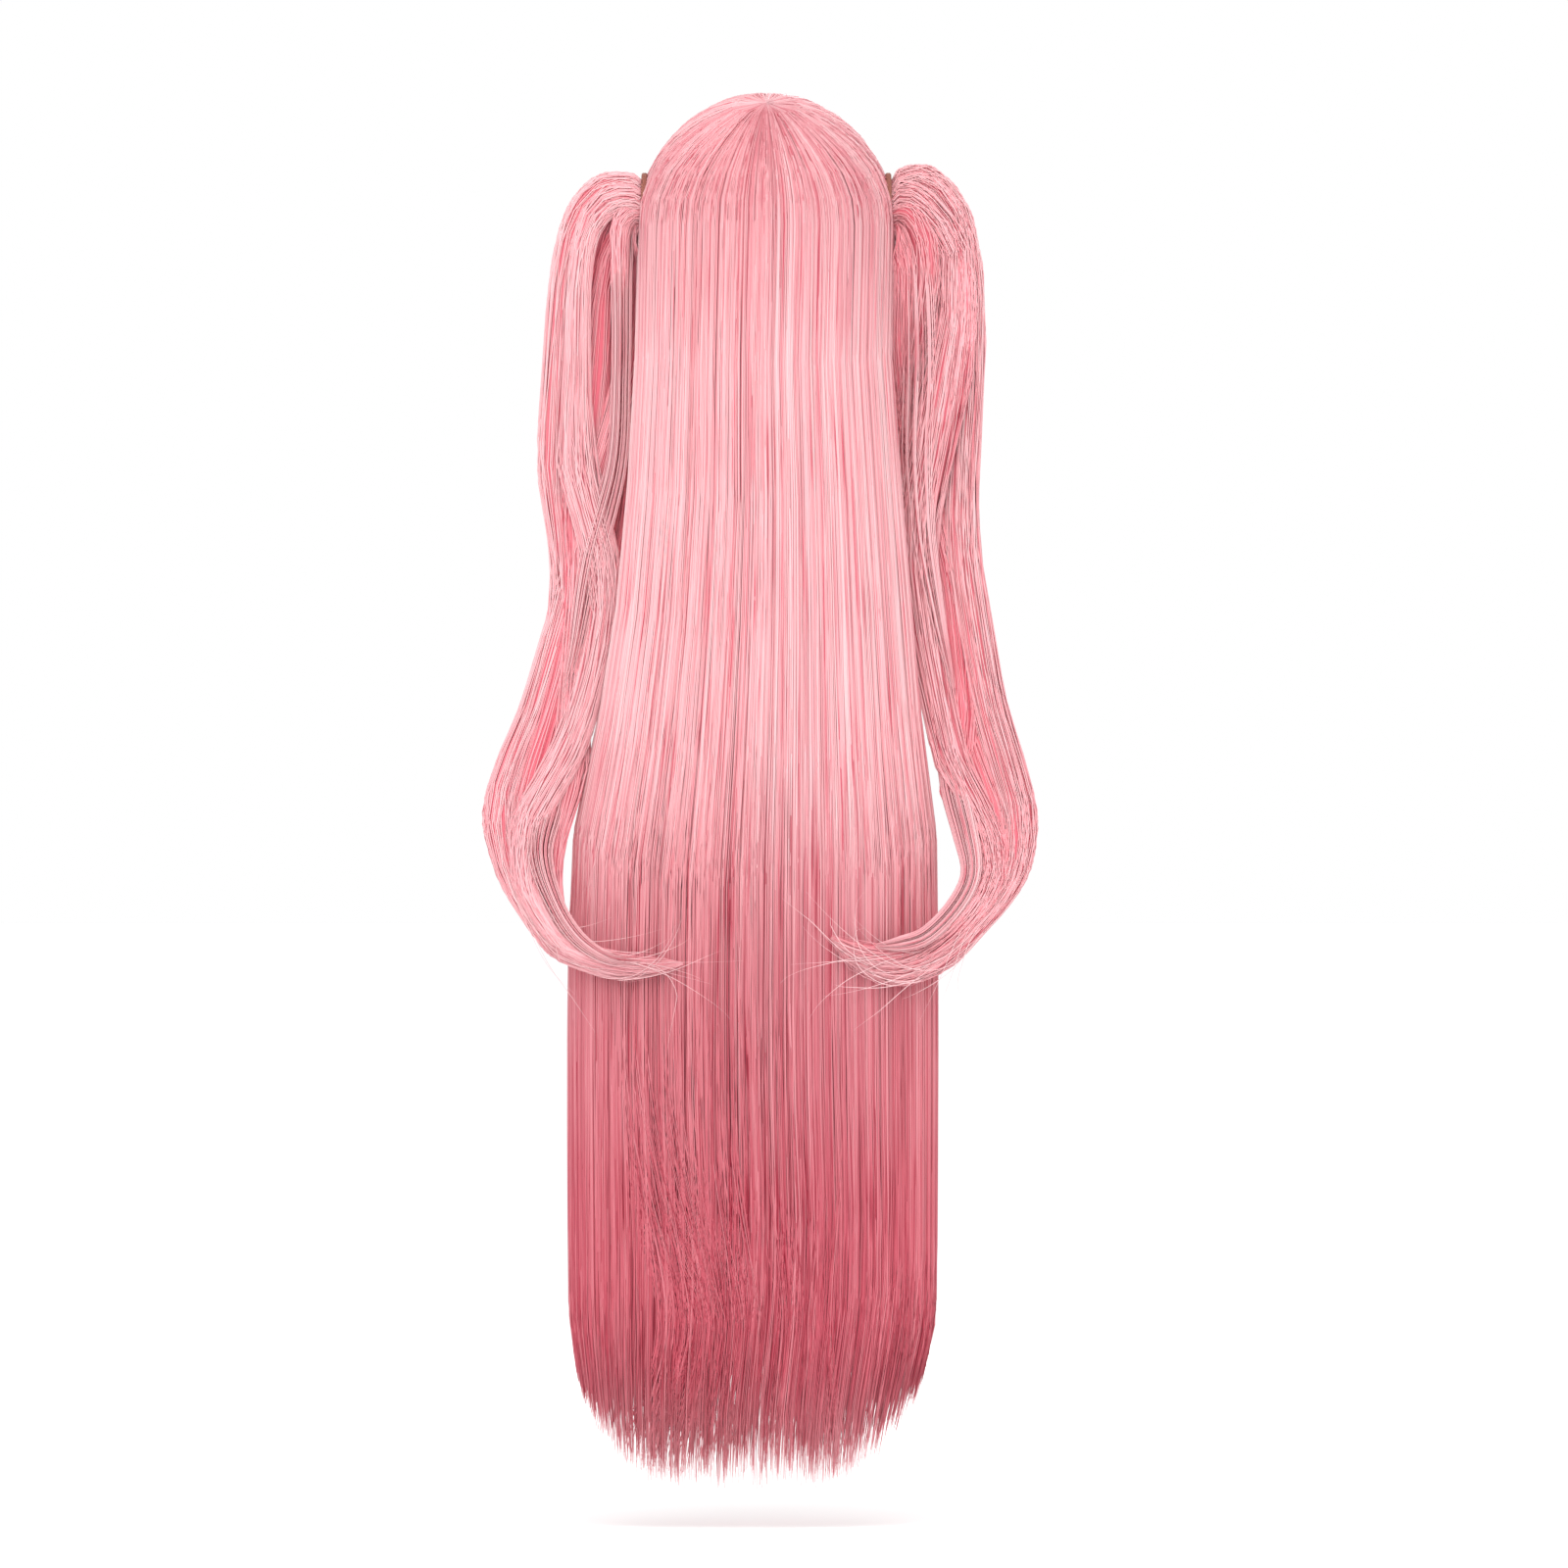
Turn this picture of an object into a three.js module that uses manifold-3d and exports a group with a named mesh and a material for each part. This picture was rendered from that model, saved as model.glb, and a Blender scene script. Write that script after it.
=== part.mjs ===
// A long wig with two side pigtails, in the form that it takes on a head.
// Millimetres, +Z up. The wearer faces -Y and the wearer's left is +X.
// The origin is the inside of the cap's top, where it sits on the head.
import * as THREE from 'three';
import { mergeVertices } from 'three/addons/utils/BufferGeometryUtils.js';
import Module from 'manifold-3d';

const wasm = await Module();
wasm.setup();

// Head that the cap is made for: an ellipsoid whose top is the origin
const HEAD_HALF_WIDTH = 79;
const HEAD_HALF_LENGTH = 97;
const HEAD_HALF_HEIGHT = 90;

// Net cap
const CAP_WALL = 1.5;
const CAP_DEPTH = 165;

// Hair over the cap: its thickness at the ears, at the front and back, and on top
const LAYER_SIDE = 14.5;
const LAYER_BACK = 15;
const LAYER_TOP = 9;
const GAP = 0.3;

// The whorl that all crown hair starts from: its tilt towards the back, and its open middle
const WHORL_TILT = 22;
const WHORL_RADIUS = 4;

// Crown sectors, as azimuths in degrees from the back: back hair up to the first, fringe past the second
const EAR_AZIMUTH = 90;
const TEMPLE_AZIMUTH = 135;

// Long hair at the back, from the widest level of the head to its cut ends, which rise in a
// round corner at each side: HEM_ROUND is the power of the curve
const CURTAIN_FALL = 905;
const HEM_HALF_WIDTH = 136;
const HEM_SHIFT = 10;
const HEM_BACK = 95;
const HEM_WRAP = 33;
const HEM_RISE = 65;
const HEM_ROUND = 5;
const HEM_NOTCH = 26;
const LOCK_GROOVE = 3.2;
const CURTAIN_LOCKS = 16;

// Fringe and side locks, below the widest level of the head
const FRINGE_FALL = 14;
const FRINGE_NOTCH = 10;
const FRINGE_LOCKS = 7;
const SIDE_FALL = 160;
const SIDE_LOCKS = 3;

// Pigtails: their gathered root, and how far each swings out, drops and swings back
const ROOT_RADIUS = 19.5;
const ROOT_BACK = 8;
const ROOT_DROP = 72;
const LEFT_SPREAD = 113;
const LEFT_DROP = 573.5;
const RIGHT_SPREAD = 104;
const RIGHT_DROP = 575.5;
const PIGTAIL_SWING = 85;
const PIGTAIL_DEPTH = 50;
const PIGTAIL_GROOVE = 0.15;
const HOOK_CLEARANCE = 2;

// Elastic ties round the roots, each a little inside the widest line of the crown hair
const TIE_INSET = 3;
const TIE_WIDTH = 5;
const TIE_THICKNESS = 3.5;
const TIE_STRANDS = 2;

// Cut ends: the notch in each groove and on each lock as shares of the full notch, how much
// notches differ, the share of the long hair's fall where they start, and the share of the
// fringe's thickness that is thinned away over its last rows
const GROOVE_NOTCH = 0.7;
const LOCK_NOTCH = 0.2;
const NOTCH_CHANGE = 0.2;
const HEM_START = 0.75;
const FRINGE_THINNING = 0.75;
const THINNING_ROWS = 2;

// Grooves along a pigtail, and the share of its length over which they fade in and out
const PIGTAIL_LOBES = 6;
const LOBE_FADE = 0.15;

// Profile of one strand of a tie: its shoulder as shares of its width and its thickness
const SHOULDER_WIDTH = 0.12;
const SHOULDER_HEIGHT = 0.7;

// Facets
const CROWN_ROWS = 8;
const CURTAIN_ROWS = 11;
const SIDE_ROWS = 6;
const FRINGE_ROWS = 2;
const COLUMNS_PER_LOCK = 3;
const CAP_COLUMNS = 32;
const CAP_ROWS = 7;
const PIGTAIL_SIDES = 18;
const PIGTAIL_SECTIONS = 30;
const LOCK_SIDES = 8;
const LOCK_SECTIONS = 11;
const TANGENT_STEP = 0.1;
const TIE_SIDES = 20;

// Lower edge of the cap: drop as a share of the cap's depth, round from the nape to the forehead
const CAP_EDGE = [
  { azimuth: 0, drop: 1.0 },
  { azimuth: 30, drop: 0.93 },
  { azimuth: 60, drop: 0.74 },
  { azimuth: 90, drop: 0.69 },
  { azimuth: 120, drop: 0.64 },
  { azimuth: 150, drop: 0.42 },
  { azimuth: 180, drop: 0.35 },
];

// Long hair, a row per level. fall is a share of CURTAIN_FALL. The other columns say how far
// each size has gone from its value on the head, 0, to its value at the hem, 1:
// wide is the half width, shift the sideways drift, back the distance behind the head's
// axis, wrap how far the side edges curl forward, and thick the share of thickness lost.
const CURTAIN = [
  { fall: 0.0, wide: 0.0, shift: 0.0, back: 0.0, wrap: 0.0, thick: 0.0 },
  { fall: 0.055, wide: -0.05, shift: 0.05, back: -0.03, wrap: 0.18, thick: 0.02 },
  { fall: 0.134, wide: 0.03, shift: 0.25, back: -0.09, wrap: 0.38, thick: 0.05 },
  { fall: 0.261, wide: 0.23, shift: 0.05, back: -0.2, wrap: 0.52, thick: 0.08 },
  { fall: 0.325, wide: 0.38, shift: 0.25, back: -0.25, wrap: 0.57, thick: 0.1 },
  { fall: 0.373, wide: 0.52, shift: 0.4, back: -0.28, wrap: 0.6, thick: 0.1 },
  { fall: 0.436, wide: 0.73, shift: 0.6, back: -0.3, wrap: 0.64, thick: 0.12 },
  { fall: 0.492, wide: 0.96, shift: 0.83, back: -0.27, wrap: 0.68, thick: 0.14 },
  { fall: 0.571, wide: 1.0, shift: 0.95, back: -0.06, wrap: 0.75, thick: 0.18 },
  { fall: 0.74, wide: 1.0, shift: 1.0, back: 0.4, wrap: 0.86, thick: 0.25 },
  { fall: 0.904, wide: 0.97, shift: 1.0, back: 0.8, wrap: 0.95, thick: 0.4 },
  { fall: 1.0, wide: 0.92, shift: 1.0, back: 1.0, wrap: 1.0, thick: 0.78 },
];

// Side lock in front of each ear: its rear and front azimuths, and the share of thickness lost
const SIDE_LOCK = [
  { fall: 0.0, rear: EAR_AZIMUTH, front: TEMPLE_AZIMUTH, thick: 0.0 },
  { fall: 0.12, rear: 97, front: 134, thick: 0.1 },
  { fall: 0.3, rear: 103, front: 132, thick: 0.25 },
  { fall: 0.55, rear: 107, front: 130, thick: 0.4 },
  { fall: 0.8, rear: 111, front: 127, thick: 0.6 },
  { fall: 1.0, rear: 116, front: 121, thick: 0.85 },
];

// Pigtails, a row per section. Each section runs from an inner to an outer edge, whose across
// is a share of the spread beyond the head's side and whose drop is a share of the drop below
// the root. back is a share of the swing, deep a share of the depth, and laid is 1 where the
// hook lies on the long hair behind the back.
const LEFT_SECTIONS = [
  { acrossIn: 0.018, dropIn: 0.037, acrossOut: 0.053, dropOut: -0.042, back: 0.0, deep: 0.84, laid: 0 },
  { acrossIn: 0.025, dropIn: 0.049, acrossOut: 0.257, dropOut: -0.039, back: 0.0, deep: 0.92, laid: 0 },
  { acrossIn: 0.016, dropIn: 0.066, acrossOut: 0.425, dropOut: -0.007, back: -0.01, deep: 0.96, laid: 0 },
  { acrossIn: 0.01, dropIn: 0.087, acrossOut: 0.513, dropOut: 0.04, back: -0.03, deep: 1.0, laid: 0 },
  { acrossIn: 0.0, dropIn: 0.127, acrossOut: 0.575, dropOut: 0.11, back: -0.06, deep: 1.0, laid: 0 },
  { acrossIn: -0.048, dropIn: 0.218, acrossOut: 0.611, dropOut: 0.218, back: -0.08, deep: 0.92, laid: 0 },
  { acrossIn: -0.035, dropIn: 0.331, acrossOut: 0.65, dropOut: 0.331, back: -0.06, deep: 0.92, laid: 0 },
  { acrossIn: 0.01, dropIn: 0.415, acrossOut: 0.593, dropOut: 0.418, back: 0.02, deep: 0.88, laid: 0 },
  { acrossIn: 0.075, dropIn: 0.485, acrossOut: 0.535, dropOut: 0.493, back: 0.12, deep: 0.84, laid: 0 },
  { acrossIn: 0.16, dropIn: 0.563, acrossOut: 0.637, dropOut: 0.563, back: 0.26, deep: 0.84, laid: 0 },
  { acrossIn: 0.257, dropIn: 0.642, acrossOut: 0.761, dropOut: 0.647, back: 0.41, deep: 0.84, laid: 0 },
  { acrossIn: 0.345, dropIn: 0.72, acrossOut: 0.92, dropOut: 0.72, back: 0.58, deep: 0.84, laid: 0 },
  { acrossIn: 0.438, dropIn: 0.79, acrossOut: 1.0, dropOut: 0.788, back: 0.74, deep: 0.8, laid: 0 },
  { acrossIn: 0.491, dropIn: 0.854, acrossOut: 0.912, dropOut: 0.861, back: 0.92, deep: 0.72, laid: 0 },
  { acrossIn: 0.46, dropIn: 0.903, acrossOut: 0.779, dropOut: 0.908, back: 1.06, deep: 0.62, laid: 0 },
  { acrossIn: 0.372, dropIn: 0.933, acrossOut: 0.575, dropOut: 0.963, back: 1.12, deep: 0.54, laid: 0 },
  { acrossIn: 0.221, dropIn: 0.945, acrossOut: 0.31, dropOut: 0.99, back: 1.15, deep: 0.48, laid: 1 },
  { acrossIn: 0.027, dropIn: 0.952, acrossOut: 0.044, dropOut: 1.0, back: 1.17, deep: 0.4, laid: 1 },
  { acrossIn: -0.159, dropIn: 0.959, acrossOut: -0.168, dropOut: 0.992, back: 1.17, deep: 0.28, laid: 1 },
  { acrossIn: -0.301, dropIn: 0.972, acrossOut: -0.31, dropOut: 0.976, back: 1.17, deep: 0.1, laid: 1 },
];
const RIGHT_SECTIONS = [
  { acrossIn: 0.018, dropIn: 0.036, acrossOut: 0.045, dropOut: -0.048, back: 0.0, deep: 0.84, laid: 0 },
  { acrossIn: 0.02, dropIn: 0.049, acrossOut: 0.251, dropOut: -0.048, back: 0.0, deep: 0.92, laid: 0 },
  { acrossIn: 0.016, dropIn: 0.066, acrossOut: 0.453, dropOut: -0.014, back: -0.01, deep: 0.96, laid: 0 },
  { acrossIn: 0.01, dropIn: 0.087, acrossOut: 0.569, dropOut: 0.035, back: -0.03, deep: 1.0, laid: 0 },
  { acrossIn: 0.0, dropIn: 0.127, acrossOut: 0.627, dropOut: 0.109, back: -0.06, deep: 1.0, laid: 0 },
  { acrossIn: -0.055, dropIn: 0.217, acrossOut: 0.633, dropOut: 0.217, back: -0.08, deep: 0.92, laid: 0 },
  { acrossIn: -0.065, dropIn: 0.33, acrossOut: 0.593, dropOut: 0.33, back: -0.07, deep: 0.92, laid: 0 },
  { acrossIn: -0.025, dropIn: 0.414, acrossOut: 0.598, dropOut: 0.414, back: 0.01, deep: 0.88, laid: 0 },
  { acrossIn: 0.035, dropIn: 0.487, acrossOut: 0.646, dropOut: 0.483, back: 0.12, deep: 0.84, laid: 0 },
  { acrossIn: 0.1, dropIn: 0.565, acrossOut: 0.723, dropOut: 0.558, back: 0.24, deep: 0.84, laid: 0 },
  { acrossIn: 0.193, dropIn: 0.648, acrossOut: 0.791, dropOut: 0.639, back: 0.39, deep: 0.84, laid: 0 },
  { acrossIn: 0.27, dropIn: 0.721, acrossOut: 0.921, dropOut: 0.718, back: 0.57, deep: 0.84, laid: 0 },
  { acrossIn: 0.395, dropIn: 0.782, acrossOut: 1.0, dropOut: 0.785, back: 0.73, deep: 0.8, laid: 0 },
  { acrossIn: 0.477, dropIn: 0.841, acrossOut: 0.95, dropOut: 0.851, back: 0.91, deep: 0.74, laid: 0 },
  { acrossIn: 0.424, dropIn: 0.886, acrossOut: 0.82, dropOut: 0.894, back: 1.06, deep: 0.66, laid: 0 },
  { acrossIn: 0.313, dropIn: 0.912, acrossOut: 0.627, dropOut: 0.934, back: 1.14, deep: 0.58, laid: 0 },
  { acrossIn: 0.174, dropIn: 0.93, acrossOut: 0.405, dropOut: 0.977, back: 1.17, deep: 0.52, laid: 1 },
  { acrossIn: 0.019, dropIn: 0.94, acrossOut: 0.125, dropOut: 1.0, back: 1.17, deep: 0.44, laid: 1 },
  { acrossIn: -0.145, dropIn: 0.942, acrossOut: -0.106, dropOut: 1.0, back: 1.17, deep: 0.34, laid: 1 },
  { acrossIn: -0.309, dropIn: 0.937, acrossOut: -0.357, dropOut: 0.975, back: 1.17, deep: 0.22, laid: 1 },
  { acrossIn: -0.453, dropIn: 0.933, acrossOut: -0.468, dropOut: 0.938, back: 1.17, deep: 0.08, laid: 1 },
];

// Locks that stand proud of each pigtail: the fold that drops from the tie on the inner side,
// and the flick that turns in beside the hook. wide and deep are shares of the pigtail's depth.
const LEFT_FOLD = [
  { across: 0.08, drop: 0.0, back: 0.13, wide: 0.36, deep: 0.28 },
  { across: 0.13, drop: 0.084, back: 0.2, wide: 0.52, deep: 0.36 },
  { across: 0.17, drop: 0.206, back: 0.15, wide: 0.56, deep: 0.36 },
  { across: 0.19, drop: 0.328, back: 0.18, wide: 0.48, deep: 0.32 },
  { across: 0.28, drop: 0.45, back: 0.27, wide: 0.4, deep: 0.28 },
  { across: 0.4, drop: 0.572, back: 0.45, wide: 0.24, deep: 0.2 },
  { across: 0.49, drop: 0.642, back: 0.57, wide: 0.06, deep: 0.06 },
];
const LEFT_FLICK = [
  { across: 0.45, drop: 0.694, back: 0.68, wide: 0.28, deep: 0.24 },
  { across: 0.575, drop: 0.772, back: 0.91, wide: 0.48, deep: 0.32 },
  { across: 0.63, drop: 0.833, back: 1.05, wide: 0.4, deep: 0.32 },
  { across: 0.54, drop: 0.894, back: 1.14, wide: 0.28, deep: 0.26 },
  { across: 0.38, drop: 0.942, back: 1.21, wide: 0.24, deep: 0.22 },
  { across: 0.168, drop: 0.969, back: 1.27, wide: 0.18, deep: 0.16 },
  { across: -0.03, drop: 0.973, back: 1.3, wide: 0.06, deep: 0.06 },
];
const RIGHT_FOLD = [
  { across: 0.09, drop: 0.0, back: 0.13, wide: 0.36, deep: 0.28 },
  { across: 0.16, drop: 0.083, back: 0.2, wide: 0.5, deep: 0.36 },
  { across: 0.18, drop: 0.205, back: 0.15, wide: 0.56, deep: 0.36 },
  { across: 0.16, drop: 0.327, back: 0.18, wide: 0.5, deep: 0.32 },
  { across: 0.2, drop: 0.431, back: 0.26, wide: 0.42, deep: 0.28 },
  { across: 0.3, drop: 0.535, back: 0.41, wide: 0.26, deep: 0.22 },
  { across: 0.41, drop: 0.622, back: 0.53, wide: 0.06, deep: 0.06 },
];
const RIGHT_FLICK = [
  { across: 0.34, drop: 0.666, back: 0.55, wide: 0.28, deep: 0.24 },
  { across: 0.41, drop: 0.744, back: 0.83, wide: 0.44, deep: 0.36 },
  { across: 0.49, drop: 0.805, back: 1.0, wide: 0.4, deep: 0.36 },
  { across: 0.53, drop: 0.857, back: 1.12, wide: 0.32, deep: 0.32 },
  { across: 0.415, drop: 0.9, back: 1.17, wide: 0.3, deep: 0.28 },
  { across: 0.22, drop: 0.924, back: 1.22, wide: 0.26, deep: 0.24 },
  { across: 0.03, drop: 0.928, back: 1.28, wide: 0.2, deep: 0.18 },
  { across: -0.145, drop: 0.921, back: 1.28, wide: 0.06, deep: 0.06 },
];

const { sin, cos, acos, sqrt, PI, min, max, floor, abs } = Math;
const rad = (degrees) => (degrees * PI) / 180;

// Nested ellipsoids, all centred under the origin at the head's widest level
const EQUATOR_Z = -HEAD_HALF_HEIGHT;
const HEAD = { x: HEAD_HALF_WIDTH, y: HEAD_HALF_LENGTH, z: HEAD_HALF_HEIGHT };
const CAP_SKIN = grown(HEAD, CAP_WALL, CAP_WALL, CAP_WALL);
const CAP_CLEAR = grown(CAP_SKIN, GAP, GAP, GAP);
const HAIR_INSIDE = outsideFacets(CAP_CLEAR, (rad(90 + WHORL_TILT) / CROWN_ROWS) / 2);
const HAIR_SKIN = grown(CAP_SKIN, LAYER_SIDE, LAYER_BACK, LAYER_TOP);
const mix = (a, b, share) => a + (b - a) * share;
const mixPoint = (a, b, share) => a.map((value, i) => mix(value, b[i], share));

function grown(axes, side, back, top) {
  return { x: axes.x + side, y: axes.y + back, z: axes.z + top };
}

// The ellipsoid whose flat facets, of a given half angle, stay outside another ellipsoid
function outsideFacets(axes, halfAngle) {
  const factor = 1 / Math.cos(halfAngle);
  return { x: axes.x * factor, y: axes.y * factor, z: axes.z * factor };
}

// Rises from 0 to 1 between two places
function ramp(from, to, value) {
  const share = min(max((value - from) / (to - from), 0), 1);
  return share * share * (3 - 2 * share);
}

// One column of a table at a place between its rows, on a smooth curve through them
function along(table, column, place) {
  const row = min(floor(place), table.length - 2);
  const value = (i) => table[min(max(i, 0), table.length - 1)][column];
  const f = place - row;
  const [a, b, c, d] = [value(row - 1), value(row), value(row + 1), value(row + 2)];
  return b + 0.5 * f * (c - a + f * (2 * a - 5 * b + 4 * c - d + f * (3 * (b - c) + d - a)));
}

function signedVolume(points, triangles) {
  const at = (i) => new THREE.Vector3(...points[i]);
  const six = triangles.reduce((sum, [a, b, c]) => sum + at(a).dot(at(b).cross(at(c))), 0);
  return six / 6;
}

// A closed indexed surface as a solid, turned outward if it was listed inside out
function toSolid(points, triangles) {
  const outward = signedVolume(points, triangles) > 0;
  const turned = outward ? triangles : triangles.map(([a, b, c]) => [a, c, b]);
  const mesh = new wasm.Mesh({
    numProp: 3,
    vertProperties: new Float32Array(points.flat()),
    triVerts: new Uint32Array(turned.flat()),
  });
  return new wasm.Manifold(mesh);
}

function solidFromGeometry(geometry, matrix) {
  geometry.deleteAttribute('normal');
  geometry.deleteAttribute('uv');
  geometry.applyMatrix4(matrix);
  const merged = mergeVertices(geometry, 1e-4);
  const position = merged.getAttribute('position');
  const index = merged.getIndex().array;
  const points = [];
  for (let i = 0; i < position.count; i += 1) {
    points.push([position.getX(i), position.getY(i), position.getZ(i)]);
  }
  const triangles = [];
  for (let i = 0; i < index.length; i += 3) {
    triangles.push([index[i], index[i + 1], index[i + 2]]);
  }
  return toSolid(points, triangles);
}

// Rings of equal length joined one to the next, and drawn to a point at both ends
function ringSolid(rings, firstPoint, lastPoint) {
  const sides = rings[0].length;
  const points = [firstPoint, ...rings.flat(), lastPoint];
  const last = points.length - 1;
  const at = (ring, side) => 1 + ring * sides + (side % sides);
  const triangles = [];
  for (let s = 0; s < sides; s += 1) {
    triangles.push([0, at(0, s + 1), at(0, s)]);
    triangles.push([last, at(rings.length - 1, s), at(rings.length - 1, s + 1)]);
    for (let r = 0; r + 1 < rings.length; r += 1) {
      triangles.push([at(r, s), at(r, s + 1), at(r + 1, s)]);
      triangles.push([at(r, s + 1), at(r + 1, s + 1), at(r + 1, s)]);
    }
  }
  return toSolid(points, triangles);
}

// A sheet with two faces of columns by rows points, joined along all four edges
function sheetSolid(columns, rows, outerPoint, innerPoint) {
  const points = [];
  for (const face of [outerPoint, innerPoint]) {
    for (let r = 0; r <= rows; r += 1) {
      for (let c = 0; c <= columns; c += 1) points.push(face(c, r));
    }
  }
  const outer = (c, r) => r * (columns + 1) + c;
  const inner = (c, r) => (rows + 1) * (columns + 1) + outer(c, r);
  const triangles = [];
  const quad = (a, b, c, d) => triangles.push([a, b, c], [a, c, d]);
  for (let r = 0; r < rows; r += 1) {
    for (let c = 0; c < columns; c += 1) {
      quad(outer(c, r), outer(c, r + 1), outer(c + 1, r + 1), outer(c + 1, r));
      quad(inner(c, r), inner(c + 1, r), inner(c + 1, r + 1), inner(c, r + 1));
    }
    quad(outer(0, r), inner(0, r), inner(0, r + 1), outer(0, r + 1));
    quad(outer(columns, r), outer(columns, r + 1), inner(columns, r + 1), inner(columns, r));
  }
  for (let c = 0; c < columns; c += 1) {
    quad(outer(c, 0), outer(c + 1, 0), inner(c + 1, 0), inner(c, 0));
    quad(outer(c, rows), inner(c, rows), inner(c + 1, rows), outer(c + 1, rows));
  }
  return toSolid(points, triangles);
}

// Point of an ellipsoid on the line that hair takes from the whorl to the head's widest level.
// azimuth is in degrees from the back towards the wearer's left, and way runs from 0 to 1.
function crownPoint(axes, azimuth, way) {
  const pole = [0, sin(rad(WHORL_TILT)), cos(rad(WHORL_TILT))];
  const foot = [sin(rad(azimuth)), cos(rad(azimuth)), 0];
  const arc = acos(pole[1] * foot[1]);
  const fromPole = sin((1 - way) * arc) / sin(arc);
  const fromFoot = sin(way * arc) / sin(arc);
  const unit = pole.map((value, i) => value * fromPole + foot[i] * fromFoot);
  return [unit[0] * axes.x, unit[1] * axes.y, EQUATOR_Z + unit[2] * axes.z];
}

// Way down the crown at a row, from the whorl's rim to the widest level
function crownWay(row) {
  const rim = WHORL_RADIUS / (rad(90) * HAIR_SKIN.z);
  return mix(rim, 1, row / CROWN_ROWS);
}

// Half of the gap between two crown sectors, as an azimuth, which opens towards the whorl
function edgeSetback(way) {
  return (GAP / 2 / (HAIR_SKIN.z * sin(way * rad(90)))) * (180 / PI);
}

// 1 in the groove between two locks, 0 on them and at the sheet's own edges
function inGroove(column, columns) {
  const atEdge = column === 0 || column === columns;
  return column % COLUMNS_PER_LOCK === 0 && !atEdge ? 1 : 0;
}

// A steady unevenness between -1 and 1 that differs from lock to lock
const uneven = (number) => sin(number * 2.4 + 0.7);

// Half ellipse that the long hair takes in plan at a level of its table
function curtainLevel(place) {
  const column = (name) => along(CURTAIN, name, place);
  const back = mix(HAIR_SKIN.y, HEM_BACK, column('back'));
  return {
    z: EQUATOR_Z - CURTAIN_FALL * column('fall'),
    wide: mix(HAIR_SKIN.x, HEM_HALF_WIDTH, column('wide')),
    shift: HEM_SHIFT * column('shift'),
    back,
    wrap: mix(HAIR_SKIN.y, HEM_WRAP, column('wrap')),
    kept: 1 - column('thick'),
  };
}

function curtainPoint(level, azimuth, depthShare) {
  const wide = level.wide - (LAYER_SIDE - GAP) * level.kept * depthShare;
  const wrap = level.wrap - (LAYER_BACK - GAP) * level.kept * depthShare;
  const x = level.shift + wide * sin(rad(azimuth));
  const y = level.back - level.wrap + wrap * cos(rad(azimuth));
  return [x, y, level.z];
}

// How far behind the head's axis the long hair's outside lies at a sideways place and a height
function curtainBackAt(x, z) {
  const places = Array.from({ length: 101 }, (_, i) => (i * (CURTAIN.length - 1)) / 100);
  const levels = places.map(curtainLevel);
  const level = levels.reduce((best, next) => (abs(next.z - z) < abs(best.z - z) ? next : best));
  const side = min(max((x - level.shift) / level.wide, -1), 1);
  return level.back - level.wrap * (1 - sqrt(1 - side * side));
}

function capSolid() {
  const edgeAt = (azimuth) => along(CAP_EDGE, 'drop', abs(azimuth) / CAP_EDGE[1].azimuth);
  const ringOf = (axes, share) => {
    const ring = [];
    for (let c = 0; c < CAP_COLUMNS; c += 1) {
      const azimuth = (c * 360) / CAP_COLUMNS - 180;
      const edgeHeight = 1 - (CAP_DEPTH * edgeAt(azimuth)) / HEAD_HALF_HEIGHT;
      const tilt = acos(max(edgeHeight, -1)) * share;
      const x = axes.x * sin(tilt) * sin(rad(azimuth));
      const y = axes.y * sin(tilt) * cos(rad(azimuth));
      ring.push([x, y, EQUATOR_Z + axes.z * cos(tilt)]);
    }
    return ring;
  };
  const shares = Array.from({ length: CAP_ROWS }, (_, i) => (i + 1) / CAP_ROWS);
  const outside = shares.map((share) => ringOf(CAP_SKIN, share));
  const inside = shares.map((share) => ringOf(HEAD, share)).reverse();
  const outsideTop = [0, 0, EQUATOR_Z + CAP_SKIN.z];
  const insideTop = [0, 0, EQUATOR_Z + HEAD.z];
  return ringSolid([...outside, ...inside], outsideTop, insideTop);
}

// Round space that a pigtail's root and its tie take in the crown hair
function rootHole(side) {
  const radius = ROOT_RADIUS + TIE_THICKNESS + 2 * GAP;
  const length = 2 * HAIR_SKIN.x;
  const hole = new THREE.CylinderGeometry(radius, radius, length, 2 * TIE_SIDES);
  const turn = new THREE.Matrix4().makeRotationZ(PI / 2);
  turn.setPosition((side * length) / 2 + side * ROOT_RADIUS, ROOT_BACK, -ROOT_DROP);
  return solidFromGeometry(hole, turn);
}

// Half of the back hair's width in degrees at a way down the crown
const backReach = (way) => EAR_AZIMUTH - edgeSetback(way);

// Azimuth of a column of the back hair, and how deep the groove there is as a share of the layer
const BACK_COLUMNS = CURTAIN_LOCKS * COLUMNS_PER_LOCK;
const backAzimuth = (column, way) => backReach(way) * ((2 * column) / BACK_COLUMNS - 1);
function backGroove(column, row) {
  const depth = (LOCK_GROOVE / LAYER_BACK) * ramp(1, CROWN_ROWS + 2, row);
  return depth * inGroove(column, BACK_COLUMNS);
}

// Back half of the crown, from the whorl to the head's widest level
function crownHairSolid() {
  const point = (column, row, depthShare) => {
    const way = crownWay(row);
    const azimuth = backAzimuth(column, way);
    const outer = crownPoint(HAIR_SKIN, azimuth, way);
    return mixPoint(outer, crownPoint(HAIR_INSIDE, azimuth, way), depthShare);
  };
  return sheetSolid(
    BACK_COLUMNS,
    CROWN_ROWS,
    (column, row) => point(column, row, backGroove(column, row)),
    (column, row) => point(column, row, 1),
  )
    .subtract(rootHole(1))
    .subtract(rootHole(-1));
}

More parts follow.
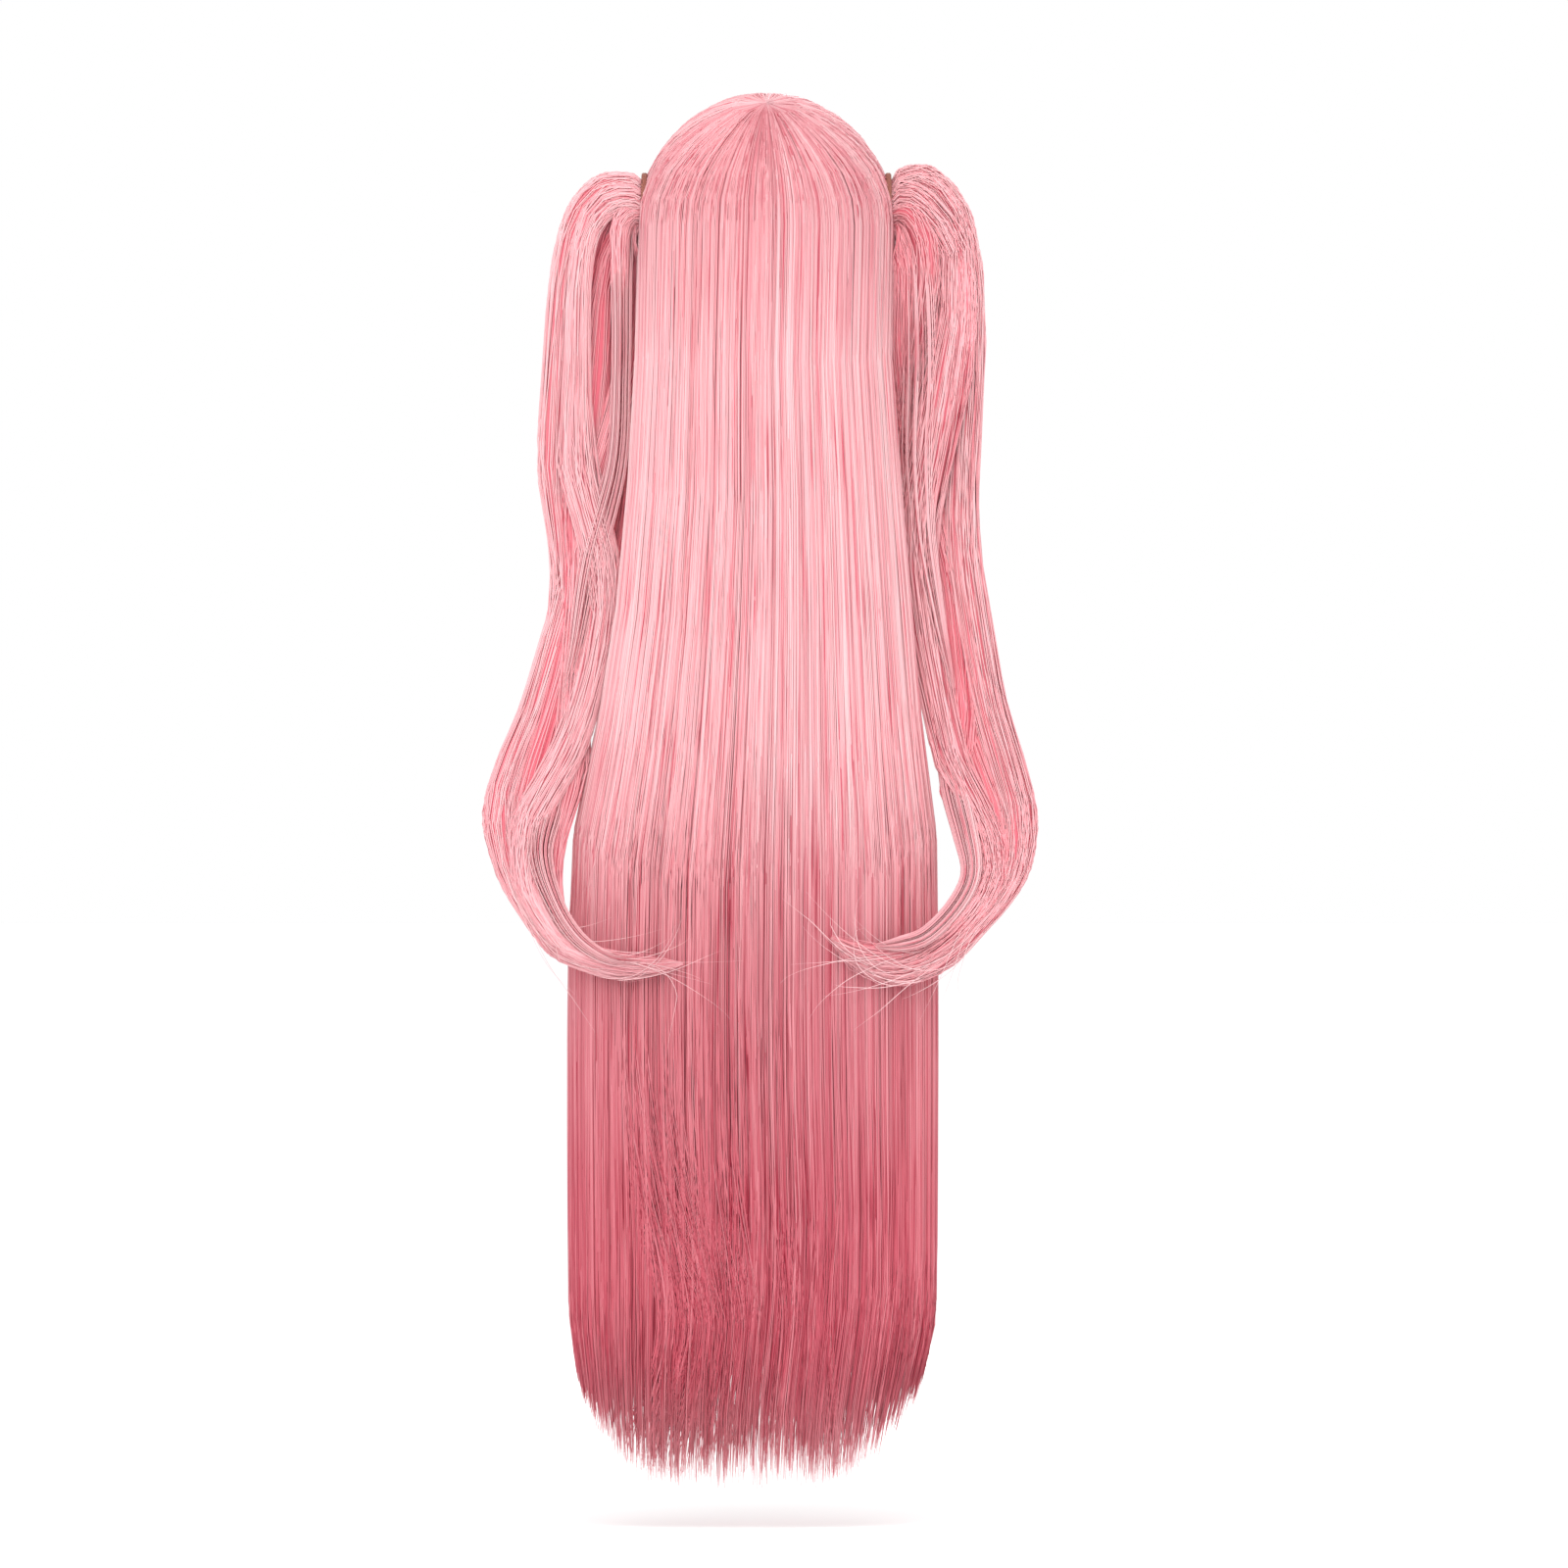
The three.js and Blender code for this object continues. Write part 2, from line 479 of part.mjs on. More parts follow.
// Long hair that falls from the head's widest level
function backHairSolid() {
  const placeOf = (row) => (row * (CURTAIN.length - 1)) / CURTAIN_ROWS;
  const hemRise = (column) => {
    const side = abs(sin(rad(backAzimuth(column, 1))));
    const lock = floor(column / COLUMNS_PER_LOCK);
    const inner = inGroove(column, BACK_COLUMNS);
    const notch = inner ? GROOVE_NOTCH + NOTCH_CHANGE * uneven(lock) : LOCK_NOTCH * (1 + uneven(column));
    return HEM_RISE * side ** HEM_ROUND + HEM_NOTCH * notch;
  };
  const point = (column, row, depthShare) => {
    const level = curtainLevel(placeOf(row));
    const fallen = (EQUATOR_Z - level.z) / CURTAIN_FALL;
    level.z += hemRise(column) * ramp(HEM_START, 1, fallen) - GAP * (1 - ramp(0, HEM_START, fallen));
    return curtainPoint(level, backAzimuth(column, 1), depthShare);
  };
  return sheetSolid(
    BACK_COLUMNS,
    CURTAIN_ROWS,
    (column, row) => point(column, row, backGroove(column, row + CROWN_ROWS)),
    (column, row) => point(column, row, 1),
  )
    .subtract(rootHole(1))
    .subtract(rootHole(-1));
}

// Point of the hair that falls straight from the head's widest level, in front of the ears
function fallenPoint(azimuth, fall, depthShare) {
  const level = { wide: HAIR_SKIN.x, wrap: HAIR_SKIN.y, back: HAIR_SKIN.y, shift: 0, kept: 1 };
  return curtainPoint({ ...level, z: EQUATOR_Z - fall }, azimuth, depthShare);
}

function fringeSolid() {
  const columns = FRINGE_LOCKS * COLUMNS_PER_LOCK;
  const rows = CROWN_ROWS + FRINGE_ROWS;
  const azimuthOf = (column, way) => {
    const from = TEMPLE_AZIMUTH + edgeSetback(way);
    return mix(from, 360 - from, column / columns);
  };
  const point = (column, row, depthShare) => {
    if (row <= CROWN_ROWS) {
      const way = crownWay(row);
      const azimuth = azimuthOf(column, way);
      const outer = crownPoint(HAIR_SKIN, azimuth, way);
      return mixPoint(outer, crownPoint(HAIR_INSIDE, azimuth, way), depthShare);
    }
    const share = (row - CROWN_ROWS) / FRINGE_ROWS;
    const notch = inGroove(column, columns) ? 1 : LOCK_NOTCH + NOTCH_CHANGE * uneven(column);
    const fall = share * (FRINGE_FALL - FRINGE_NOTCH * notch);
    return fallenPoint(azimuthOf(column, 1), fall, depthShare);
  };
  const thinning = (row) => FRINGE_THINNING * ramp(CROWN_ROWS - THINNING_ROWS, rows, row);
  const groove = (column, row) => {
    return (LOCK_GROOVE / LAYER_BACK) * ramp(1, CROWN_ROWS, row) * inGroove(column, columns);
  };
  return sheetSolid(
    columns,
    rows,
    (column, row) => point(column, row, groove(column, row) * (1 - thinning(row))),
    (column, row) => point(column, row, 1 - thinning(row)),
  );
}

function sideHairSolid(side) {
  const columns = SIDE_LOCKS * COLUMNS_PER_LOCK;
  const rows = CROWN_ROWS + SIDE_ROWS;
  const placeOf = (row) => ((row - CROWN_ROWS) * (SIDE_LOCK.length - 1)) / SIDE_ROWS;
  const point = (column, row, depthShare) => {
    const way = crownWay(min(row, CROWN_ROWS));
    const place = max(placeOf(row), 0);
    const rear = along(SIDE_LOCK, 'rear', place) + edgeSetback(way);
    const front = along(SIDE_LOCK, 'front', place) - edgeSetback(way);
    const azimuth = side * mix(rear, front, column / columns);
    if (row <= CROWN_ROWS) {
      const outer = crownPoint(HAIR_SKIN, azimuth, way);
      return mixPoint(outer, crownPoint(HAIR_INSIDE, azimuth, way), depthShare);
    }
    const kept = 1 - along(SIDE_LOCK, 'thick', place);
    return fallenPoint(azimuth, SIDE_FALL * along(SIDE_LOCK, 'fall', place), depthShare * kept);
  };
  const groove = (column, row) => {
    return (LOCK_GROOVE / LAYER_SIDE) * ramp(1, CROWN_ROWS, row) * inGroove(column, columns);
  };
  return sheetSolid(
    columns,
    rows,
    (column, row) => point(column, row, groove(column, row)),
    (column, row) => point(column, row, 1),
  ).subtract(rootHole(side));
}

// Sideways place and height of a share of a pigtail's spread and drop
function pigtailSpot(tail, across, drop) {
  return [tail.side * (HAIR_SKIN.x + tail.spread * across), -ROOT_DROP - tail.drop * drop];
}

// One section of a pigtail: its inner and outer edge, its distance back and its depth
function pigtailSection(tail, place) {
  const column = (name) => along(tail.sections, name, place);
  const [xIn, zIn] = pigtailSpot(tail, column('acrossIn'), column('dropIn'));
  const [xOut, zOut] = pigtailSpot(tail, column('acrossOut'), column('dropOut'));
  const depth = PIGTAIL_DEPTH * column('deep');
  const free = ROOT_BACK + PIGTAIL_SWING * column('back');
  const nearest = max(curtainBackAt(xIn, zIn), curtainBackAt((xIn + xOut) / 2, zIn));
  const resting = nearest + HOOK_CLEARANCE + depth / 2;
  const back = mix(free, resting, min(max(column('laid'), 0), 1));
  return { xIn, zIn, xOut, zOut, back, depth };
}

function pigtailRing(section, lobes) {
  const ring = [];
  for (let s = 0; s < PIGTAIL_SIDES; s += 1) {
    const turn = (s * 2 * PI) / PIGTAIL_SIDES;
    const reach = 1 - lobes * (1 - cos(PIGTAIL_LOBES * turn));
    const x = mix(section.xIn, section.xOut, (1 + reach * cos(turn)) / 2);
    const z = mix(section.zIn, section.zOut, (1 + reach * cos(turn)) / 2);
    ring.push([x, section.back + (section.depth / 2) * reach * sin(turn), z]);
  }
  return ring;
}

function centreOf(ring) {
  const sum = ring.reduce((total, point) => total.map((value, i) => value + point[i]), [0, 0, 0]);
  return sum.map((value) => value / ring.length);
}

// Tapered lock of oval section along the rows of a table
function lockSolid(tail, table) {
  const spot = (place) => {
    const [x, z] = pigtailSpot(tail, along(table, 'across', place), along(table, 'drop', place));
    return new THREE.Vector3(x, ROOT_BACK + PIGTAIL_SWING * along(table, 'back', place), z);
  };
  const rings = [];
  for (let i = 0; i < LOCK_SECTIONS; i += 1) {
    const place = (i * (table.length - 1)) / (LOCK_SECTIONS - 1);
    const before = spot(max(place - TANGENT_STEP, 0));
    const tangent = spot(min(place + TANGENT_STEP, table.length - 1)).sub(before);
    const sideways = new THREE.Vector3().crossVectors(tangent, new THREE.Vector3(0, 1, 0)).normalize();
    const wide = (PIGTAIL_DEPTH / 2) * along(table, 'wide', place);
    const deep = (PIGTAIL_DEPTH / 2) * along(table, 'deep', place);
    const centre = spot(place);
    const ring = [];
    for (let s = 0; s < LOCK_SIDES; s += 1) {
      const turn = (s * 2 * PI) / LOCK_SIDES;
      const point = centre.clone().addScaledVector(sideways, wide * cos(turn));
      ring.push([point.x, point.y + deep * sin(turn), point.z]);
    }
    rings.push(ring);
  }
  return ringSolid(rings, centreOf(rings[0]), centreOf(rings[rings.length - 1]));
}

// Ellipsoid just outside the cap, which every root is cut back to
function capClearance() {
  const ball = new THREE.SphereGeometry(1, 2 * CAP_COLUMNS, CAP_COLUMNS);
  const size = new THREE.Matrix4().makeScale(CAP_CLEAR.x, CAP_CLEAR.y, CAP_CLEAR.z);
  size.setPosition(0, 0, EQUATOR_Z);
  return solidFromGeometry(ball, size);
}

// Straight gathered root, from inside the cap's outline to the start of the arch
function rootSolid(tail) {
  const from = HEAD.x - 2 * CAP_WALL - LAYER_SIDE;
  const to = HAIR_SKIN.x + TIE_WIDTH / 2;
  const root = new THREE.CylinderGeometry(ROOT_RADIUS, ROOT_RADIUS, to - from, TIE_SIDES);
  const turn = new THREE.Matrix4().makeRotationZ(PI / 2);
  turn.setPosition((tail.side * (from + to)) / 2, ROOT_BACK, -ROOT_DROP);
  return solidFromGeometry(root, turn);
}

function pigtailSolid(tail) {
  const mouth = {
    xIn: tail.side * (HAIR_SKIN.x - TIE_INSET),
    zIn: -ROOT_DROP - ROOT_RADIUS,
    xOut: tail.side * (HAIR_SKIN.x - TIE_INSET),
    zOut: -ROOT_DROP + ROOT_RADIUS,
    back: ROOT_BACK,
    depth: 2 * ROOT_RADIUS,
  };
  const rings = [pigtailRing(mouth, 0)];
  for (let i = 0; i < PIGTAIL_SECTIONS; i += 1) {
    const share = i / (PIGTAIL_SECTIONS - 1);
    const faded = ramp(0, LOBE_FADE, share) * (1 - ramp(1 - LOBE_FADE, 1, share));
    const lobes = (PIGTAIL_GROOVE / 2) * faded;
    const section = pigtailSection(tail, share * (tail.sections.length - 1));
    rings.push(pigtailRing(section, lobes));
  }
  const arch = ringSolid(rings, centreOf(rings[0]), centreOf(rings[rings.length - 1]));
  return arch
    .add(lockSolid(tail, tail.fold))
    .add(lockSolid(tail, tail.flick))
    .add(rootSolid(tail))
    .subtract(capClearance());
}

// Elastic tie: a ring of a few strands side by side, seated round the root
function tieGeometry() {
  const profile = [];
  const inner = ROOT_RADIUS + GAP;
  const strandWidth = TIE_WIDTH / TIE_STRANDS;
  profile.push(new THREE.Vector2(inner, -TIE_WIDTH / 2));
  for (let strand = 0; strand < TIE_STRANDS; strand += 1) {
    const start = -TIE_WIDTH / 2 + strand * strandWidth;
    const shoulder = inner + SHOULDER_HEIGHT * TIE_THICKNESS;
    profile.push(new THREE.Vector2(shoulder, start + SHOULDER_WIDTH * strandWidth));
    profile.push(new THREE.Vector2(inner + TIE_THICKNESS, start + strandWidth / 2));
    profile.push(new THREE.Vector2(shoulder, start + (1 - SHOULDER_WIDTH) * strandWidth));
  }
  profile.push(new THREE.Vector2(inner, TIE_WIDTH / 2));
  profile.push(profile[0].clone());
  return new THREE.LatheGeometry(profile, TIE_SIDES);
}

function material(colour, roughness) {
  return new THREE.MeshStandardMaterial({ color: colour, roughness, metalness: 0 });
}

const HAIR = material(0xf29aa5, 0.5);
const NET = material(0xd98a92, 0.9);
const ELASTIC = material(0x9a5a4c, 0.7);

function addSolid(group, name, solid, finish) {
  const mesh = solid.getMesh();
  const geometry = new THREE.BufferGeometry();
  geometry.setAttribute('position', new THREE.BufferAttribute(new Float32Array(mesh.vertProperties), 3));
  geometry.setIndex(new THREE.BufferAttribute(new Uint32Array(mesh.triVerts), 1));
  geometry.computeVertexNormals();
  const node = new THREE.Mesh(geometry, finish);
  node.name = name;
  group.add(node);
}

function addTie(group, name, side) {
  const tie = new THREE.Mesh(tieGeometry(), ELASTIC);
  tie.name = name;
  tie.rotation.z = -side * (PI / 2);
  const across = HAIR_SKIN.x - TIE_INSET - TIE_WIDTH / 2;
  tie.position.set(side * across, ROOT_BACK, -ROOT_DROP);
  group.add(tie);
}

const LEFT = {
  side: 1,
  spread: LEFT_SPREAD,
  drop: LEFT_DROP,
  sections: LEFT_SECTIONS,
  fold: LEFT_FOLD,
  flick: LEFT_FLICK,
};
const RIGHT = {
  side: -1,
  spread: RIGHT_SPREAD,
  drop: RIGHT_DROP,
  sections: RIGHT_SECTIONS,
  fold: RIGHT_FOLD,
  flick: RIGHT_FLICK,
};

const wig = new THREE.Group();
addSolid(wig, 'cap', capSolid(), NET);
addSolid(wig, 'crown_hair', crownHairSolid(), HAIR);
addSolid(wig, 'back_hair', backHairSolid(), HAIR);
addSolid(wig, 'fringe', fringeSolid(), HAIR);
addSolid(wig, 'side_hair_left', sideHairSolid(1), HAIR);
addSolid(wig, 'side_hair_right', sideHairSolid(-1), HAIR);
addSolid(wig, 'pigtail_left', pigtailSolid(LEFT), HAIR);
addSolid(wig, 'pigtail_right', pigtailSolid(RIGHT), HAIR);
addTie(wig, 'hair_tie_left', 1);
addTie(wig, 'hair_tie_right', -1);

export default wig;
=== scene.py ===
"""Looks of a long pink wig with two side pigtails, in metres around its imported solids.

Every lock is grown as fine closed fibres from guide lines that follow the same sizes and
tables as the solids. Azimuths are in degrees from the back towards the wearer's left.
"""
import math

import bpy
import numpy as np
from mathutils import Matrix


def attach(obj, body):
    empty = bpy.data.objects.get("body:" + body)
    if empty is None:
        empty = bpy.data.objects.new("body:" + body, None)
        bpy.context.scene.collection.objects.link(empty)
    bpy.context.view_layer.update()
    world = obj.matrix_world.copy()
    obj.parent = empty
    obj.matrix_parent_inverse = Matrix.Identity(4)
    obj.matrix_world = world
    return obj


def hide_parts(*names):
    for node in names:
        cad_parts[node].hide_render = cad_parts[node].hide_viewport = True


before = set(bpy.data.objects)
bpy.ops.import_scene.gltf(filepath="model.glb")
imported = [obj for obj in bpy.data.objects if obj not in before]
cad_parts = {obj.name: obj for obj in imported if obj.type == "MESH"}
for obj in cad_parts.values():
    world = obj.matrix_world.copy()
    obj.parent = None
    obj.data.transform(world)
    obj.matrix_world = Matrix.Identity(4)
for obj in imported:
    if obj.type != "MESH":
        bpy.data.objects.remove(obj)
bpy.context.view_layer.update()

MM = 0.001

# Head, cap and crown hair, as in the part's source
HEAD_AXES = np.array([79.0, 97.0, 90.0]) * MM
CAP_WALL = 1.5 * MM
CAP_DEPTH = 165.0 * MM
CAP_AXES = HEAD_AXES + CAP_WALL
HAIR_LAYER = np.array([14.5, 15.0, 9.0]) * MM
HAIR_AXES = CAP_AXES + HAIR_LAYER
INNER_AXES = CAP_AXES + 1.0 * MM
EQUATOR_Z = -HEAD_AXES[2]
WHORL_TILT = math.radians(22.0)
CROWN_ARC = 150.0 * MM

# Long hair at the back
CURTAIN_FALL = 905.0 * MM
HEM_HALF_WIDTH = 136.0 * MM
HEM_SHIFT = 10.0 * MM
HEM_BACK = 95.0 * MM
HEM_WRAP = 33.0 * MM
HEM_RISE = 65.0 * MM
HEM_ROUND = 5
# How far the ends at each side draw in towards the middle
LEFT_DRAW = 13.0 * MM
RIGHT_DRAW = 23.0 * MM

# Hair in front of the ears
EAR_AZIMUTH = 90.0
TEMPLE_AZIMUTH = 135.0
FRINGE_FALL = 14.0 * MM
SIDE_FALL = 160.0 * MM

# Pigtails and their ties
ROOT_RADIUS = 19.5 * MM
ROOT_BACK = 8.0 * MM
ROOT_DROP = 72.0 * MM
PIGTAIL_SWING = 85.0 * MM
PIGTAIL_DEPTH = 50.0 * MM
HOOK_CLEARANCE = 2.0 * MM
TIE_INSET = 3.0 * MM
TIE_WIDTH = 5.0 * MM
TIE_THICKNESS = 3.5 * MM
GAP = 0.3 * MM
ROOT_ROWS = 4

# Shares of the cap's depth at which its edge runs, every 30 degrees from the back to the brow
CAP_EDGE = np.array([1.0, 0.93, 0.74, 0.69, 0.64, 0.42, 0.35])
# The net is drawn about three times as coarse as a real one, so that it shows
NET_MESH = 6.0 * MM
NET_THREAD = 0.55 * MM

# Fibres are drawn about ten times as thick as real ones, so that they show in the picture
FIBRE_WIDTH = 0.95 * MM
FIBRE_SIDES = 3
TAIL_STEPS = 28
LONG_FIBRES = 3300
INSIDE_FIBRES = 700
HEM_FIBRES = 900
SWEPT_FIBRES = 260
FRINGE_FIBRES = 700
SIDE_FIBRES = 350
FOLD_FIBRES = 60
FLICK_FIBRES = 90
STRAY_FIBRES = 26

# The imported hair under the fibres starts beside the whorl
MAT_START = -0.985 * CROWN_ARC
MAT_CUT = 46.0
MAT_RAGGED = 34.0

# Painted light and shade on the long hair: share of the deeper colour at each height, as painted shade
# that deepens below the shoulders and in a band on the crown, with paler painted highlight on the upper
# back
PAINTED_SHADE_HEIGHTS = (
    -1.02, -0.965, -0.93, -0.79, -0.72, -0.62, -0.575, -0.54,
    -0.5, -0.45, -0.35, -0.18, -0.105, -0.067, -0.03, 0.0,
)
PAINTED_SHADE_SHARES = (
    0.35, 0.82, 0.97, 0.9, 0.78, 0.68, 0.51, 0.26,
    0.06, 0.12, 0.06, 0.05, 0.16, 0.37, 0.27, 0.3,
)

CURTAIN_COLUMNS = ("fall", "wide", "shift", "back", "wrap", "thick")
CURTAIN = np.array([
    (0.0, 0.0, 0.0, 0.0, 0.0, 0.0),
    (0.055, -0.05, 0.05, -0.03, 0.18, 0.02),
    (0.134, 0.03, 0.25, -0.09, 0.38, 0.05),
    (0.261, 0.23, 0.05, -0.2, 0.52, 0.08),
    (0.325, 0.38, 0.25, -0.25, 0.57, 0.1),
    (0.373, 0.52, 0.4, -0.28, 0.6, 0.1),
    (0.436, 0.68, 0.58, -0.3, 0.64, 0.12),
    (0.492, 0.93, 0.82, -0.27, 0.68, 0.14),
    (0.571, 0.99, 0.95, -0.06, 0.75, 0.18),
    (0.74, 1.0, 1.0, 0.4, 0.86, 0.25),
    (0.904, 0.97, 1.0, 0.8, 0.95, 0.4),
    (1.0, 0.92, 1.0, 1.0, 1.0, 0.78),
])
# Side lock: fall, rear and front azimuth, and share of its thickness lost
SIDE_LOCK = np.array([
    (0.0, 90.0, 135.0, 0.0),
    (0.12, 97.0, 134.0, 0.1),
    (0.3, 103.0, 132.0, 0.25),
    (0.55, 107.0, 130.0, 0.4),
    (0.8, 111.0, 127.0, 0.6),
    (1.0, 116.0, 121.0, 0.85),
])

# Pigtail sections: across and drop of the inner edge, across and drop of the outer edge,
# back, deep and laid, each a share as in the part's source
LEFT_SECTIONS = np.array([
    (0.018, 0.037, 0.053, -0.042, 0.0, 0.84, 0),
    (0.025, 0.049, 0.257, -0.039, 0.0, 0.92, 0),
    (0.016, 0.066, 0.425, -0.007, -0.01, 0.96, 0),
    (0.01, 0.087, 0.513, 0.04, -0.03, 1.0, 0),
    (0.0, 0.127, 0.575, 0.11, -0.06, 1.0, 0),
    (-0.048, 0.218, 0.611, 0.218, -0.08, 0.92, 0),
    (-0.035, 0.331, 0.65, 0.331, -0.06, 0.92, 0),
    (0.01, 0.415, 0.593, 0.418, 0.02, 0.88, 0),
    (0.075, 0.485, 0.535, 0.493, 0.12, 0.84, 0),
    (0.16, 0.563, 0.637, 0.563, 0.26, 0.84, 0),
    (0.257, 0.642, 0.761, 0.647, 0.41, 0.84, 0),
    (0.345, 0.72, 0.92, 0.72, 0.58, 0.84, 0),
    (0.438, 0.79, 1.0, 0.788, 0.74, 0.8, 0),
    (0.491, 0.854, 0.912, 0.861, 0.92, 0.72, 0),
    (0.46, 0.903, 0.779, 0.908, 1.06, 0.62, 0),
    (0.372, 0.933, 0.575, 0.963, 1.12, 0.54, 0),
    (0.221, 0.945, 0.31, 0.99, 1.15, 0.48, 1),
    (0.027, 0.952, 0.044, 1.0, 1.17, 0.4, 1),
    (-0.159, 0.959, -0.168, 0.992, 1.17, 0.28, 1),
    (-0.301, 0.972, -0.31, 0.976, 1.17, 0.1, 1),
])
RIGHT_SECTIONS = np.array([
    (0.018, 0.036, 0.045, -0.048, 0.0, 0.84, 0),
    (0.02, 0.049, 0.251, -0.048, 0.0, 0.92, 0),
    (0.016, 0.066, 0.453, -0.014, -0.01, 0.96, 0),
    (0.01, 0.087, 0.569, 0.035, -0.03, 1.0, 0),
    (0.0, 0.127, 0.627, 0.109, -0.06, 1.0, 0),
    (-0.055, 0.217, 0.633, 0.217, -0.08, 0.92, 0),
    (-0.065, 0.33, 0.593, 0.33, -0.07, 0.92, 0),
    (-0.025, 0.414, 0.598, 0.414, 0.01, 0.88, 0),
    (0.035, 0.487, 0.646, 0.483, 0.12, 0.84, 0),
    (0.1, 0.565, 0.723, 0.558, 0.24, 0.84, 0),
    (0.193, 0.648, 0.791, 0.639, 0.39, 0.84, 0),
    (0.27, 0.721, 0.921, 0.718, 0.57, 0.84, 0),
    (0.395, 0.782, 1.0, 0.785, 0.73, 0.8, 0),
    (0.477, 0.841, 0.95, 0.851, 0.91, 0.74, 0),
    (0.424, 0.886, 0.82, 0.894, 1.06, 0.66, 0),
    (0.313, 0.912, 0.627, 0.934, 1.14, 0.58, 0),
    (0.174, 0.93, 0.405, 0.977, 1.17, 0.52, 1),
    (0.019, 0.94, 0.125, 1.0, 1.17, 0.44, 1),
    (-0.145, 0.942, -0.106, 1.0, 1.17, 0.34, 1),
    (-0.309, 0.937, -0.357, 0.975, 1.17, 0.22, 1),
    (-0.453, 0.933, -0.468, 0.938, 1.17, 0.08, 1),
])

# Locks proud of each pigtail: across, drop, back, wide and deep
LEFT_FOLD = np.array([
    (0.08, 0.0, 0.13, 0.36, 0.28),
    (0.1, 0.084, 0.2, 0.34, 0.3),
    (0.1, 0.206, 0.15, 0.3, 0.3),
    (0.13, 0.328, 0.18, 0.34, 0.32),
    (0.28, 0.45, 0.27, 0.4, 0.28),
    (0.4, 0.572, 0.45, 0.24, 0.2),
    (0.49, 0.642, 0.57, 0.06, 0.06),
])
LEFT_FLICK = np.array([
    (0.45, 0.694, 0.68, 0.28, 0.24),
    (0.575, 0.772, 0.91, 0.48, 0.32),
    (0.63, 0.833, 1.05, 0.4, 0.32),
    (0.54, 0.894, 1.14, 0.28, 0.26),
    (0.38, 0.942, 1.21, 0.24, 0.22),
    (0.168, 0.969, 1.27, 0.18, 0.16),
    (-0.03, 0.973, 1.3, 0.06, 0.06),
])
RIGHT_FOLD = np.array([
    (0.09, 0.0, 0.13, 0.36, 0.28),
    (0.16, 0.083, 0.2, 0.5, 0.36),
    (0.18, 0.205, 0.15, 0.56, 0.36),
    (0.16, 0.327, 0.18, 0.5, 0.32),
    (0.2, 0.431, 0.26, 0.42, 0.28),
    (0.3, 0.535, 0.41, 0.26, 0.22),
    (0.41, 0.622, 0.53, 0.06, 0.06),
])
RIGHT_FLICK = np.array([
    (0.34, 0.666, 0.55, 0.28, 0.24),
    (0.41, 0.744, 0.83, 0.44, 0.36),
    (0.49, 0.805, 1.0, 0.4, 0.36),
    (0.53, 0.857, 1.12, 0.32, 0.32),
    (0.415, 0.9, 1.17, 0.3, 0.28),
    (0.22, 0.935, 1.22, 0.28, 0.24),
    (0.03, 0.946, 1.28, 0.24, 0.18),
    (-0.145, 0.948, 1.28, 0.06, 0.06),
])
